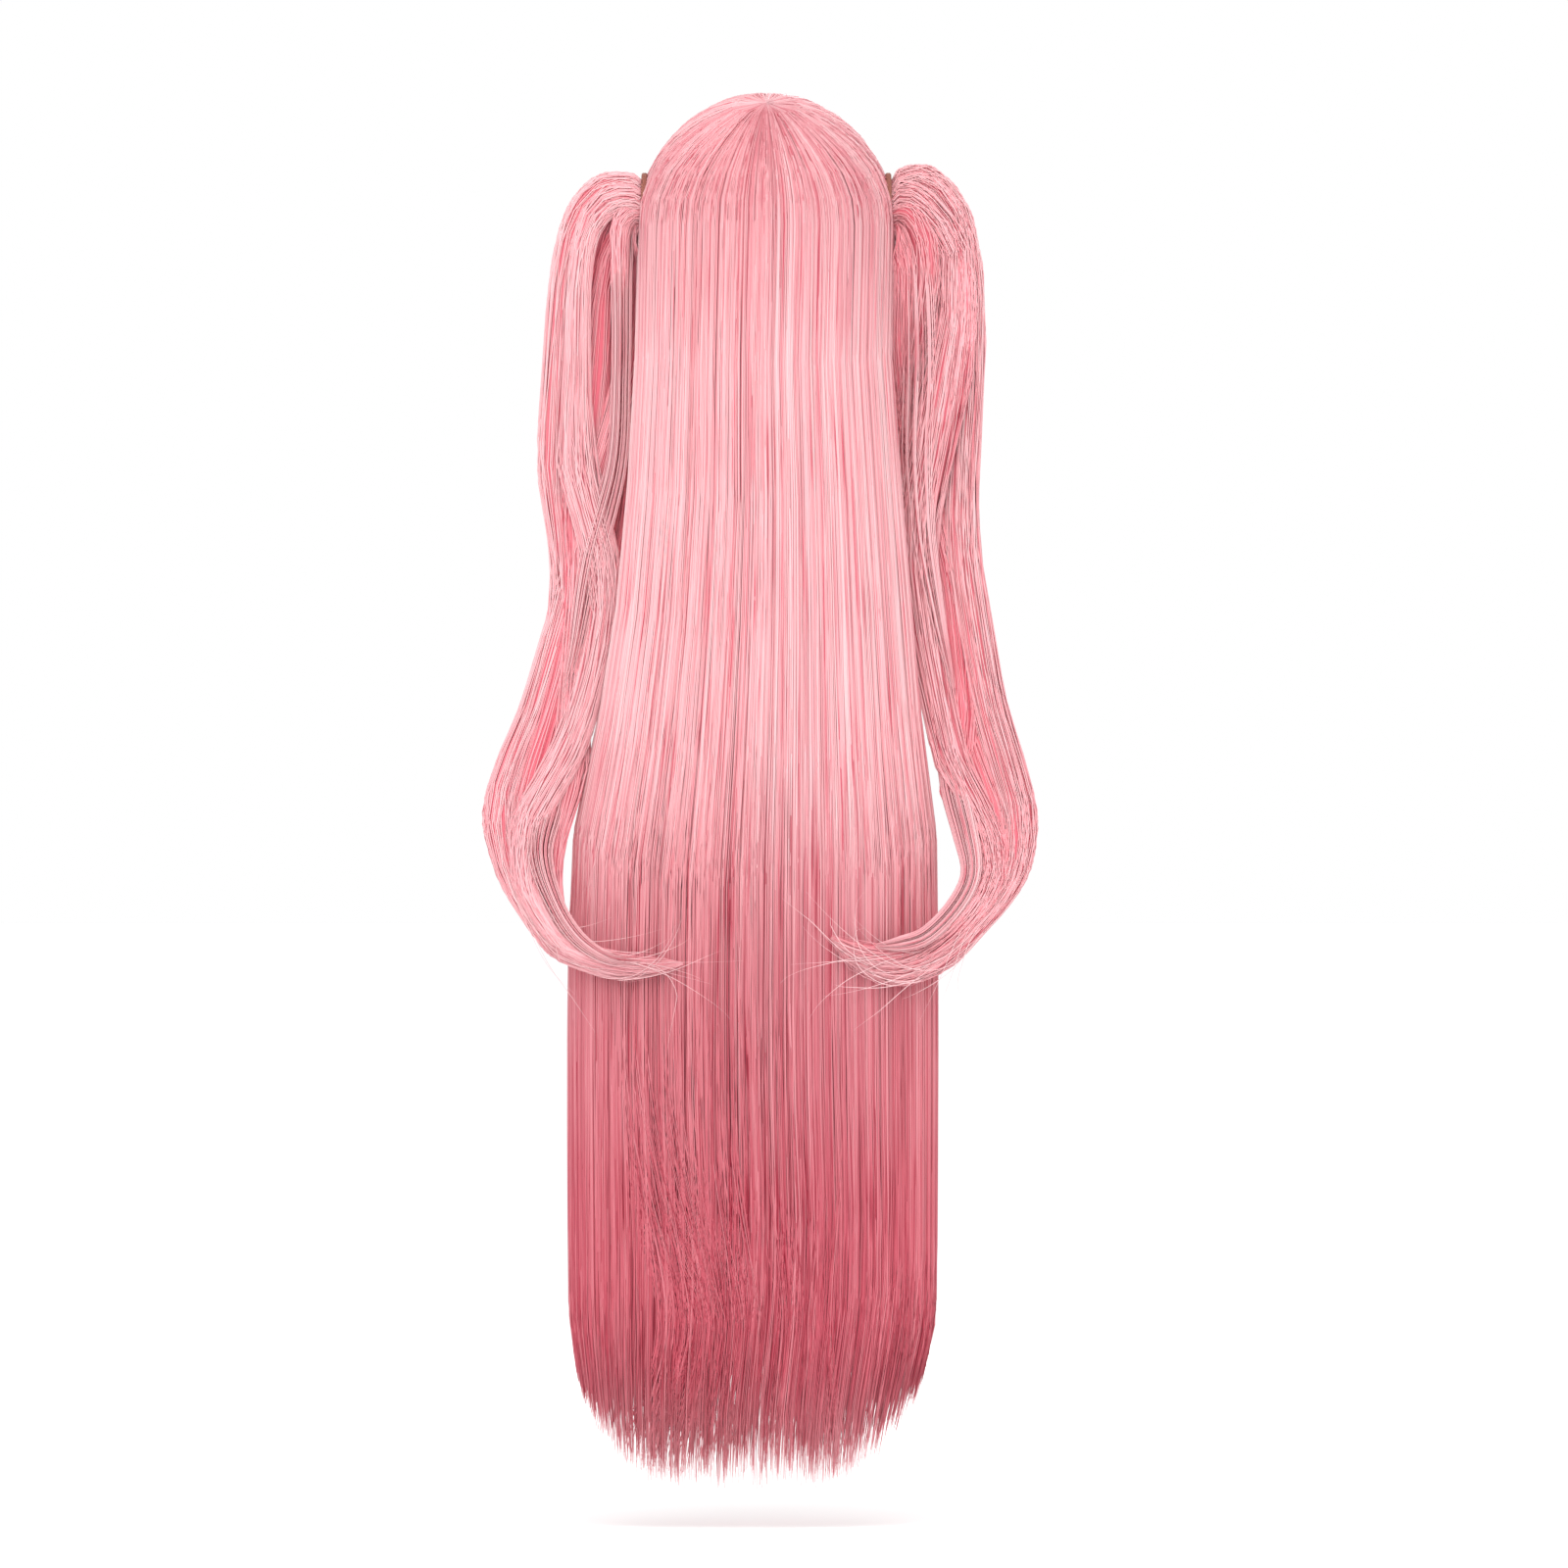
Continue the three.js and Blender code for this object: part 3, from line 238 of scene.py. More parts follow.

# Locks inside each pigtail: number of fibres, its share of painted recess shade where it lies in a
# hollow, and its rows. A row is a place, counted in sections from the tie, then the lock's centre across
# and deep in the section and its half size, as shares of the section's.
LEFT_BUNDLES = {
    "outer": (170, 0.1, [
        (-4, 0.45, -0.1, 0.5), (0, 0.5, -0.1, 0.45), (3, 0.72, 0.0, 0.3), (5, 0.73, 0.1, 0.29),
        (6, 0.7, 0.15, 0.3), (7.5, 0.66, 0.0, 0.34), (9, 0.64, 0.0, 0.36), (11, 0.62, 0.1, 0.38),
        (13, 0.6, 0.2, 0.4), (15, 0.55, 0.1, 0.42), (17, 0.45, 0.0, 0.45), (19, 0.1, 0.0, 0.6),
    ]),
    "front": (190, 0.16, [
        (-4, 0.1, 0.4, 0.5), (0, 0.1, 0.4, 0.45), (2, 0.32, 0.4, 0.3), (3, 0.36, 0.5, 0.26),
        (5, 0.32, 0.6, 0.25), (6, 0.3, 0.65, 0.34), (7, -0.05, 0.65, 0.42), (8, -0.45, 0.55, 0.44),
        (9, -0.66, 0.5, 0.42), (10.2, -0.66, 0.55, 0.42), (11, -0.5, 0.6, 0.42), (12, -0.1, 0.65, 0.42),
        (13.3, 0.22, 0.5, 0.38), (15, 0.15, 0.4, 0.4), (17, 0.1, 0.2, 0.45), (19, 0.0, 0.0, 0.6),
    ]),
    "fold": (120, 0.36, [
        (-4, -0.3, 0.35, 0.45), (0, -0.35, 0.35, 0.4), (1.5, -0.46, 0.55, 0.34),
        (2.5, -0.56, 0.55, 0.26), (3.5, -0.62, 0.5, 0.2), (4.5, -0.62, 0.4, 0.17),
        (5.5, -0.6, 0.1, 0.2), (6.7, -0.78, -0.45, 0.2),
        (8, -0.5, -0.2, 0.28), (9, -0.1, -0.2, 0.32), (11, 0.05, 0.0, 0.36), (13, -0.1, 0.1, 0.36),
        (15, 0.1, 0.0, 0.4), (17, 0.1, 0.0, 0.45), (19, 0.0, 0.0, 0.6),
    ]),
    "inner": (140, 0.55, [
        (-4, -0.5, -0.1, 0.45), (-0.6, -0.75, 0.0, 0.4), (0, -1.0, 0.0, 0.4),
        (1, -1.1, 0.0, 0.36), (2.5, -1.02, -0.25, 0.3),
        (4, -1.0, -0.2, 0.28), (5, -0.72, 0.3, 0.28), (6, -0.28, 0.36, 0.32), (7, 0.2, 0.15, 0.36),
        (8, 0.3, 0.15, 0.4), (9, 0.0, 0.3, 0.42), (11, -0.72, 0.2, 0.42), (12.5, -0.74, 0.2, 0.34),
        (14, -0.64, 0.2, 0.32), (15.5, -0.35, 0.2, 0.36), (17, -0.1, 0.1, 0.42), (19, 0.0, 0.0, 0.6),
    ]),
    "sweep": (90, 0.65, [
        (-4, -0.5, 0.2, 0.4), (0, -0.6, 0.1, 0.36), (1.5, -0.5, 0.15, 0.26), (2.5, -0.36, 0.1, 0.24),
        (3.5, -0.2, 0.0, 0.26), (4.5, -0.1, 0.05, 0.3), (5.5, 0.1, 0.15, 0.34), (7, 0.3, 0.2, 0.4),
        (9, 0.2, 0.1, 0.4), (12, 0.1, 0.1, 0.4), (15, 0.1, 0.1, 0.4), (19, 0.0, 0.0, 0.6),
    ]),
    "under": (70, 0.85, [
        (-4, 0.0, -0.4, 0.55), (0, 0.0, -0.4, 0.55), (3, 0.1, -0.5, 0.64), (5, 0.05, -0.5, 0.66),
        (7, 0.0, -0.45, 0.7), (9, -0.05, -0.4, 0.72), (11, -0.2, -0.35, 0.72), (13, -0.2, -0.35, 0.6),
        (15, 0.1, -0.3, 0.5), (17, 0.1, -0.1, 0.5), (19, 0.0, 0.0, 0.6),
    ]),
}
RIGHT_BUNDLES = {
    "outer": (170, 0.1, [
        (-4, 0.45, -0.1, 0.5), (0, 0.5, -0.1, 0.45), (1, 0.68, 0.0, 0.32), (3, 0.72, 0.0, 0.3),
        (5, 0.7, 0.1, 0.3), (6, 0.66, 0.2, 0.34), (7.5, 0.56, 0.3, 0.4), (9, 0.52, 0.25, 0.42),
        (11, 0.56, 0.2, 0.42), (13, 0.56, 0.2, 0.42), (14.5, 0.5, 0.1, 0.42), (17, 0.45, 0.0, 0.5),
        (20, 0.2, 0.0, 0.7),
    ]),
    "front": (200, 0.22, [
        (-4, 0.1, 0.4, 0.5), (0, 0.1, 0.4, 0.45), (1, 0.12, 0.4, 0.36), (2, 0.2, 0.45, 0.32),
        (3, 0.4, 0.55, 0.34), (4, 0.42, 0.6, 0.44), (5, 0.24, 0.65, 0.52), (6, -0.1, 0.65, 0.5),
        (7, -0.42, 0.6, 0.44), (8, -0.58, 0.5, 0.42), (9.5, -0.62, 0.45, 0.4), (11, -0.58, 0.4, 0.38),
        (12, -0.3, 0.45, 0.36), (13, -0.05, 0.45, 0.36), (15, 0.0, 0.3, 0.42), (18, 0.0, 0.1, 0.55),
        (20, 0.0, 0.0, 0.7),
    ]),
    "fold": (130, 0.42, [
        (-4, -0.3, 0.35, 0.45), (0, -0.35, 0.35, 0.4), (1, -0.26, 0.45, 0.4), (3, -0.24, 0.5, 0.4),
        (4.5, -0.4, 0.4, 0.36), (6, -0.7, 0.1, 0.26), (7, -0.8, 0.0, 0.22), (9, -0.3, -0.1, 0.3),
        (11, -0.05, 0.1, 0.3), (13, 0.1, 0.3, 0.32), (15, 0.2, 0.1, 0.4), (18, 0.1, 0.0, 0.5),
        (20, 0.0, 0.0, 0.7),
    ]),
    "inner": (150, 0.58, [
        (-4, -0.5, -0.1, 0.45), (-0.6, -0.75, 0.0, 0.4), (0, -1.0, 0.1, 0.4),
        (1, -1.08, 0.3, 0.38), (3, -0.88, 0.5, 0.36),
        (4.5, -0.82, 0.5, 0.3), (5.5, -0.66, 0.2, 0.26), (6.5, -0.1, 0.1, 0.34), (8, 0.1, 0.1, 0.38),
        (10, 0.0, 0.2, 0.38), (11.5, -0.72, 0.0, 0.34), (13.5, -0.67, 0.1, 0.28), (15.5, -0.5, 0.1, 0.4),
        (18, -0.4, 0.1, 0.5), (20, -0.3, 0.0, 0.6),
    ]),
    "under": (70, 0.85, [
        (-4, 0.0, -0.4, 0.55), (0, 0.0, -0.4, 0.55), (3, 0.1, -0.5, 0.64), (5, 0.05, -0.5, 0.66),
        (7, 0.0, -0.45, 0.7), (9, -0.05, -0.4, 0.72), (11, -0.15, -0.35, 0.7), (13, -0.1, -0.4, 0.55),
        (15, 0.1, -0.3, 0.5), (18, 0.1, -0.1, 0.55), (20, 0.0, 0.0, 0.7),
    ]),
}

# Locks that sweep aside on the lower long hair: azimuth, swing, start, width and paleness
SWEPT_LOCKS = [
    (42.0, -16.0, 0.68, 10.0, 0.1),
    (34.0, -17.0, 0.7, 10.0, 0.0),
    (25.0, -13.0, 0.73, 9.0, 0.1),
    (10.0, -8.0, 0.76, 9.0, 0.05),
    (-8.0, -5.0, 0.78, 9.0, 0.1),
    (-26.0, 4.0, 0.78, 9.0, 0.1),
]

TAILS = {
    "left": {
        "side": 1, "spread": 113.0 * MM, "drop": 573.5 * MM,
        "sections": LEFT_SECTIONS, "fold": LEFT_FOLD, "flick": LEFT_FLICK,
        "bundles": LEFT_BUNDLES,
    },
    "right": {
        "side": -1, "spread": 104.0 * MM, "drop": 575.5 * MM,
        "sections": RIGHT_SECTIONS, "fold": RIGHT_FOLD, "flick": RIGHT_FLICK,
        "bundles": RIGHT_BUNDLES,
    },
}


def ramp(low, high, value):
    """Rises smoothly from 0 to 1 between two places."""
    share = np.clip((value - low) / (high - low), 0.0, 1.0)
    return share * share * (3.0 - 2.0 * share)


def mix(a, b, share):
    return a + (b - a) * share


def along(table, place):
    """Every column of a table at places between its rows, on a smooth curve through them."""
    place = np.clip(np.asarray(place, float), 0.0, len(table) - 1)
    row = np.minimum(np.floor(place).astype(int), len(table) - 2)
    step = (place - row)[..., None]
    before, start, end, after = (
        table[np.clip(row + shift, 0, len(table) - 1)] for shift in (-1, 0, 1, 2)
    )
    bend = 2 * before - 5 * start + 4 * end - after + step * (3 * (start - end) + after - before)
    return start + 0.5 * step * (end - before + step * bend)


def crown_point(axes, azimuth, way):
    """Point on the line that hair takes from the whorl, 0, to the head's widest level, 1."""
    turn = np.radians(azimuth)
    pole = np.array([0.0, math.sin(WHORL_TILT), math.cos(WHORL_TILT)])
    foot = np.stack([np.sin(turn), np.cos(turn), np.zeros_like(turn)], axis=-1)
    arc = np.arccos(np.clip(pole[1] * foot[..., 1], -1.0, 1.0))
    from_pole = np.sin((1.0 - way) * arc) / np.sin(arc)
    from_foot = np.sin(way * arc) / np.sin(arc)
    unit = from_pole[..., None] * pole + from_foot[..., None] * foot
    return unit * axes + np.array([0.0, 0.0, EQUATOR_Z])


CURTAIN_DENSE = along(CURTAIN, np.linspace(0.0, len(CURTAIN) - 1, 600))


def curtain_level(fall):
    """Sizes of the long hair's half ellipse in plan, at distances below the widest level."""
    share = fall / CURTAIN_FALL
    column = {
        name: np.interp(share, CURTAIN_DENSE[:, 0], CURTAIN_DENSE[:, i])
        for i, name in enumerate(CURTAIN_COLUMNS)
    }
    return {
        "wide": mix(HAIR_AXES[0], HEM_HALF_WIDTH, column["wide"]),
        "shift": HEM_SHIFT * column["shift"],
        "back": mix(HAIR_AXES[1], HEM_BACK, column["back"]),
        "wrap": mix(HAIR_AXES[1], HEM_WRAP, column["wrap"]),
        "kept": 1.0 - column["thick"],
    }


def curtain_point(azimuth, fall, depth):
    """Point of the long hair: depth runs from 0 at its outside to 1 at its inside."""
    level = curtain_level(fall)
    turn = np.radians(azimuth)
    wide = level["wide"] - HAIR_LAYER[0] * level["kept"] * depth
    wrap = level["wrap"] - HAIR_LAYER[1] * level["kept"] * depth
    x = level["shift"] + wide * np.sin(turn)
    y = level["back"] - level["wrap"] + wrap * np.cos(turn)
    return np.stack([x, y, EQUATOR_Z - fall], axis=-1)


def curtain_back_at(x, z):
    """How far behind the head's axis the long hair's outside lies."""
    level = curtain_level(EQUATOR_Z - z)
    side = np.clip((x - level["shift"]) / level["wide"], -1.0, 1.0)
    return level["back"] - level["wrap"] * (1.0 - np.sqrt(1.0 - side * side))


def straight_point(azimuth, fall, depth):
    """Point of the hair that falls straight down in front of the ears."""
    turn = np.radians(azimuth)
    x = (HAIR_AXES[0] - HAIR_LAYER[0] * depth) * np.sin(turn)
    y = (HAIR_AXES[1] - HAIR_LAYER[1] * depth) * np.cos(turn)
    return np.stack([x, y, EQUATOR_Z - fall], axis=-1)


def hair_point(run, azimuth, depth, below):
    """Point at a run of metres past the widest level, which is negative on the crown."""
    way = np.clip(1.0 + run / CROWN_ARC, 0.0, 1.0)
    # Above the widest level the hair turns gently until it hangs straight
    above = crown_point(np.ones(3), azimuth, np.full_like(way, 0.98))
    drift = azimuth - np.degrees(np.arctan2(above[..., 0], above[..., 1]))
    slope = ((drift + 180.0) % 360.0 - 180.0) / 0.02
    azimuth = azimuth + slope * (1.0 - way) * ramp(0.35, 1.0, way)
    outside = crown_point(HAIR_AXES, azimuth, way)
    crown = mix(outside, crown_point(INNER_AXES, azimuth, way), depth[..., None])
    fallen = below(azimuth, np.maximum(run, 0.0), depth)
    return np.where((run < 0.0)[..., None], crown, fallen)


def part_round_ties(points):
    """Turns crown hair aside where it would cross a pigtail's root, as it parts round a tie."""
    radius = ROOT_RADIUS + TIE_THICKNESS + 0.6 * MM
    y = points[..., 1] - ROOT_BACK
    z = points[..., 2] + ROOT_DROP
    distance = np.sqrt(y * y + z * z) + 1e-6
    pushed = (distance**4 + radius**4) ** 0.25
    near = np.abs(points[..., 0]) > 0.5 * HAIR_AXES[0]
    scale = np.where(near, pushed / distance, 1.0)
    aside = np.where(y < 0.0, -1.0, 1.0) * np.maximum(np.abs(y), 0.5 * MM) * scale
    turned = points.copy()
    turned[..., 1] = ROOT_BACK + np.where(near & (scale > 1.001), aside, y)
    turned[..., 2] = -ROOT_DROP + z * np.where(near, 1.0 + 0.35 * (scale - 1.0), 1.0)
    return turned


def srgb(hex_value):
    """Linear colour of an sRGB hex value."""
    parts = [int(hex_value[i:i + 2], 16) / 255.0 for i in (1, 3, 5)]
    linear = [c / 12.92 if c <= 0.04045 else ((c + 0.055) / 1.055) ** 2.4 for c in parts]
    return (*linear, 1.0)


def add_node(tree, kind, inputs=None, **settings):
    """A node with its settings, and with each input either set or linked."""
    node = tree.nodes.new(kind)
    for name, value in settings.items():
        setattr(node, name, value)
    for name, value in (inputs or {}).items():
        if isinstance(value, bpy.types.NodeSocket):
            tree.links.new(value, node.inputs[name])
        else:
            node.inputs[name].default_value = value
    return node


def new_material(name):
    material = bpy.data.materials.new(name)
    material.use_nodes = True
    material.node_tree.nodes.clear()
    return material, material.node_tree


def finish_material(tree, shader):
    add_node(tree, "ShaderNodeOutputMaterial", {"Surface": shader.outputs["BSDF"]})


def colour_stops(tree, factor, stops):
    """Colour that runs through (place, hex colour) stops, as an output socket."""
    node = add_node(tree, "ShaderNodeValToRGB", {"Fac": factor})
    elements = node.color_ramp.elements
    while len(elements) < len(stops):
        elements.new(0.5)
    for element, (place, colour) in zip(elements, stops):
        element.position = place
        element.color = srgb(colour)
    return node.outputs["Color"]


def blended_colour(tree, factor, first, second):
    """Colour between two others, as an output socket."""
    node = add_node(tree, "ShaderNodeMix", data_type="RGBA")
    tree.links.new(factor, node.inputs[0])
    tree.links.new(first, node.inputs[6])
    tree.links.new(second, node.inputs[7])
    return node.outputs[2]


def combed_noise(tree, across, length, detail):
    """Noise in streaks that follow the combed hair, sized in metres across and along it."""
    comb = add_node(tree, "ShaderNodeAttribute", attribute_name="comb")
    stretched = add_node(
        tree,
        "ShaderNodeMapping",
        {"Vector": comb.outputs["Vector"], "Scale": (1.0 / across, 1.0 / length, 1.0 / across)},
    )
    noise = add_node(
        tree,
        "ShaderNodeTexNoise",
        {"Vector": stretched.outputs["Vector"], "Scale": 1.0, "Detail": detail},
    )
    return noise.outputs["Fac"]


def make_fibre_material():
    """Heat-resistant modacrylic fibre, extruded, dyed and brushed straight.

    It gives the eye fine pale and rosy streaks and a soft satin gloss, with painted shade in thin dark
    partings, in hollows and lower down the long hair.
    """
    material, tree = new_material("brushed_modacrylic_fibre")
    tone = add_node(tree, "ShaderNodeAttribute", attribute_name="tone")
    # deep is the share of painted shade, set by height on the long hair
    deep = add_node(tree, "ShaderNodeAttribute", attribute_name="deep")
    # Painted shade in hollows: a purer rose stands in for light that reaches them only through other
    # hair
    recess_shade = add_node(tree, "ShaderNodeAttribute", attribute_name="recess_shade")
    # Streaks of about twenty fibres, and partings drawn as coarse as one drawn fibre, whose darker
    # colour is painted shade between the strands
    streak = combed_noise(tree, 1.5 * MM, 200.0 * MM, 2.0)
    parting = combed_noise(tree, 0.9 * MM, 110.0 * MM, 0.0)
    parting_shade = add_node(
        tree,
        "ShaderNodeMapRange",
        {"Value": parting, "From Min": 0.62, "From Max": 0.72, "To Min": 0.0, "To Max": -0.3},
    )
    half_tone = add_node(
        tree, "ShaderNodeMath", {0: tone.outputs["Fac"], 1: 0.34, 2: 0.37}, operation="MULTIPLY_ADD"
    )
    streaked = add_node(
        tree, "ShaderNodeMath", {0: streak, 1: 0.3, 2: half_tone.outputs[0]}, operation="MULTIPLY_ADD"
    )
    varied = add_node(
        tree, "ShaderNodeMath", {0: streaked.outputs[0], 1: parting_shade.outputs[0]}, operation="ADD"
    )
    # upper is the lit colour, lower the painted shade lower down the hair
    upper = colour_stops(
        tree, varied.outputs[0], [(0.0, "#DA6374"), (0.5, "#F6BCC1"), (1.0, "#FBDDDE")]
    )
    lower = colour_stops(
        tree, varied.outputs[0], [(0.0, "#9C2439"), (0.5, "#C55666"), (1.0, "#E48E98")]
    )
    painted_recess_colour = colour_stops(
        tree, varied.outputs[0], [(0.0, "#E05266"), (0.5, "#FA929E"), (1.0, "#FFB8C0")]
    )
    height_shaded_colour = blended_colour(tree, deep.outputs["Fac"], upper, lower)
    shader = add_node(
        tree,
        "ShaderNodeBsdfPrincipled",
        {
            "Base Color": blended_colour(tree, recess_shade.outputs["Fac"], height_shaded_colour, painted_recess_colour),
            "Roughness": 0.42,
            "Specular IOR Level": 0.14,
            "Specular Tint": srgb("#FFB4BC"),
        },
    )
    finish_material(tree, shader)
    return material


def make_mat_material():
    """The same fibre packed under the surface, its colour painted deeper as shade, since little light
    reaches it.
    """
    material, tree = new_material("packed_fibre_painted_shade")
    deep = add_node(tree, "ShaderNodeAttribute", attribute_name="deep")
    streak = combed_noise(tree, 1.2 * MM, 70.0 * MM, 3.0)
    recess_shade = add_node(tree, "ShaderNodeAttribute", attribute_name="recess_shade")
    # upper is the lit colour, lower the painted shade lower down the hair
    upper = colour_stops(tree, streak, [(0.25, "#D05266"), (0.5, "#EC8492"), (0.75, "#F9A8B0")])
    lower = colour_stops(tree, streak, [(0.25, "#9E253A"), (0.5, "#BE4255"), (0.75, "#D86475")])
    painted_recess_colour = colour_stops(tree, streak, [(0.25, "#D85C6E"), (0.5, "#E87C8B"), (0.75, "#F09CA6")])
    height_shaded_colour = blended_colour(tree, deep.outputs["Fac"], upper, lower)
    colour = blended_colour(tree, recess_shade.outputs["Fac"], height_shaded_colour, painted_recess_colour)
    bump = add_node(tree, "ShaderNodeBump", {"Height": streak, "Strength": 0.6, "Distance": 0.6 * MM})
    shader = add_node(
        tree,
        "ShaderNodeBsdfPrincipled",
        {
            "Base Color": colour,
            "Roughness": 0.6,
            "Specular IOR Level": 0.1,
            "Specular Tint": srgb("#FFB4BC"),
            "Normal": bump.outputs["Normal"],
        },
    )
    finish_material(tree, shader)
    return material


def make_net_material():
    """Knitted nylon stretch net: matt rosy thread with a faint twist."""
    material, tree = new_material("knitted_nylon_net")
    place = add_node(tree, "ShaderNodeTexCoord")
    # Yarn unevenness of about 1 mm
    noise = add_node(
        tree,
        "ShaderNodeTexNoise",
        {"Vector": place.outputs["Object"], "Scale": 1.0 / (1.0 * MM), "Detail": 2.0},
    )
    colour = colour_stops(tree, noise.outputs["Fac"], [(0.3, "#B4606C"), (0.7, "#D98E97")])
    bump = add_node(
        tree, "ShaderNodeBump", {"Height": noise.outputs["Fac"], "Strength": 0.5, "Distance": 0.2 * MM}
    )
    shader = add_node(
        tree,
        "ShaderNodeBsdfPrincipled",
        {"Base Color": colour, "Roughness": 0.85, "Normal": bump.outputs["Normal"]},
    )
    finish_material(tree, shader)
    return material


def make_elastic_material():
    """Braided polyester over rubber: brown thread with fine slanting ribs of about 0.6 mm."""
    material, tree = new_material("braided_elastic")
    place = add_node(tree, "ShaderNodeTexCoord")
    ribs = add_node(
        tree,
        "ShaderNodeTexWave",
        {"Vector": place.outputs["Object"], "Scale": 0.5 / (0.6 * MM), "Distortion": 1.5, "Detail": 1.0},
        bands_direction="DIAGONAL",
    )
    browns = [(0.0, "#6E3B33"), (0.6, "#9A5A4C"), (1.0, "#B57562")]
    colour = colour_stops(tree, ribs.outputs["Fac"], browns)
    bump = add_node(
        tree, "ShaderNodeBump", {"Height": ribs.outputs["Fac"], "Strength": 0.7, "Distance": 0.3 * MM}
    )
    shader = add_node(
        tree,
        "ShaderNodeBsdfPrincipled",
        {"Base Color": colour, "Roughness": 0.75, "Normal": bump.outputs["Normal"]},
    )
    finish_material(tree, shader)
    return material


def make_strand_tree():
    """Geometry Nodes that turn guide lines into closed tapered fibres."""
    tree = bpy.data.node_groups.new("fibres_on_guides", "GeometryNodeTree")
    face = tree.interface
    face.new_socket(name="Guides", in_out="INPUT", socket_type="NodeSocketGeometry")
    inputs = {
        "width": ("Fibre Width", "NodeSocketFloat"),
        "sides": ("Fibre Sides", "NodeSocketInt"),
        "frizz": ("Frizz", "NodeSocketFloat"),
        "wave": ("Frizz Spacing", "NodeSocketFloat"),
        "seed": ("Seed", "NodeSocketFloat"),
        "finish": ("Finish", "NodeSocketMaterial"),
    }
    identifiers = {
        key: face.new_socket(name=name, in_out="INPUT", socket_type=kind).identifier
        for key, (name, kind) in inputs.items()
    }
    face.new_socket(name="Fibres", in_out="OUTPUT", socket_type="NodeSocketGeometry")
    given = add_node(tree, "NodeGroupInput").outputs
    lines = add_node(tree, "GeometryNodeMeshToCurve", {"Mesh": given["Guides"]})
    place = add_node(tree, "GeometryNodeInputPosition")
    scale = add_node(tree, "ShaderNodeMath", {0: 1.0, 1: given["Frizz Spacing"]}, operation="DIVIDE")
    noise = add_node(
        tree,
        "ShaderNodeTexNoise",
        {
            "Vector": place.outputs["Position"],
            "W": given["Seed"],
            "Scale": scale.outputs[0],
            "Detail": 1.0,
        },
        noise_dimensions="4D",
    )
    centred = add_node(
        tree,
        "ShaderNodeVectorMath",
        {0: noise.outputs["Color"], 1: (0.5, 0.5, 0.5)},
        operation="SUBTRACT",
    )
    offset = add_node(
        tree,
        "ShaderNodeVectorMath",
        {0: centred.outputs[0], "Scale": given["Frizz"]},
        operation="SCALE",
    )
    moved = add_node(
        tree,
        "GeometryNodeSetPosition",
        {"Geometry": lines.outputs["Curve"], "Offset": offset.outputs[0]},
    )
    radius = add_node(tree, "ShaderNodeMath", {0: given["Fibre Width"], 1: 0.5}, operation="MULTIPLY")
    section = add_node(
        tree,
        "GeometryNodeCurvePrimitiveCircle",
        {"Resolution": given["Fibre Sides"], "Radius": radius.outputs[0]},
    )
    taper = add_node(tree, "GeometryNodeInputNamedAttribute", {"Name": "taper"}, data_type="FLOAT")
    fibres = add_node(
        tree,
        "GeometryNodeCurveToMesh",
        {
            "Curve": moved.outputs["Geometry"],
            "Profile Curve": section.outputs["Curve"],
            "Scale": taper.outputs["Attribute"],
            "Fill Caps": True,
        },
    )
    smooth = add_node(tree, "GeometryNodeSetShadeSmooth", {"Geometry": fibres.outputs["Mesh"]})
    real = add_node(tree, "GeometryNodeRealizeInstances", {"Geometry": smooth.outputs["Geometry"]})
    dressed = add_node(
        tree,
        "GeometryNodeSetMaterial",
        {"Geometry": real.outputs["Geometry"], "Material": given["Finish"]},
    )
    add_node(tree, "NodeGroupOutput", {"Fibres": dressed.outputs["Geometry"]})
    return tree, identifiers


def link_object(name, mesh):
    thing = bpy.data.objects.new(name, mesh)
    bpy.context.scene.collection.objects.link(thing)
    return thing


def hand_over(thing, node_names):
    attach(thing, "root")
    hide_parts(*node_names)


def store_attributes(mesh, values):
    """Stores values for each point: plain numbers, or vectors where there are three of each."""
    for name, value in values.items():
        vector = value.ndim == 2
        attribute = mesh.attributes.new(name, "FLOAT_VECTOR" if vector else "FLOAT", "POINT")
        attribute.data.foreach_set("vector" if vector else "value", value.astype(np.float32).ravel())


def guide_mesh(strands):
    """Mesh with one polyline for each strand."""
    points = strands["points"]
    count, steps = points.shape[:2]
    mesh = bpy.data.meshes.new("guides")
    mesh.vertices.add(count * steps)
    mesh.vertices.foreach_set("co", points.astype(np.float32).ravel())
    first = np.arange(count * steps).reshape(count, steps)[:, :-1].ravel()
    mesh.edges.add(len(first))
    mesh.edges.foreach_set("vertices", np.stack([first, first + 1], axis=1).ravel())
    values = {name: strands[name].reshape(-1) for name in ("tone", "deep", "recess_shade", "taper")}
    values["comb"] = strands["comb"].reshape(-1, 3)
    store_attributes(mesh, values)
    return mesh


def strand_set(points, tone, deep, taper, across, run, recess_shade=0.0):
    """Strands with a value of everything at each point. across and run say how they are combed."""
    shape = points.shape[:2]
    full = {
        "tone": np.clip(np.broadcast_to(tone, shape), -1.0, 1.0),
        "deep": np.clip(np.broadcast_to(deep, shape), 0.0, 1.0),
        "recess_shade": np.clip(np.broadcast_to(recess_shade, shape), 0.0, 1.0),
        "taper": np.broadcast_to(taper, shape),
    }
    comb = [np.broadcast_to(part, shape) for part in (across, run, 0.0)]
    return {"points": points, "comb": np.stack(comb, axis=-1), **full}


def joined(*sets):
    return {name: np.concatenate([strands[name] for strands in sets]) for name in sets[0]}


def chosen(strands, mask):
    return {name: values[mask] for name, values in strands.items()}


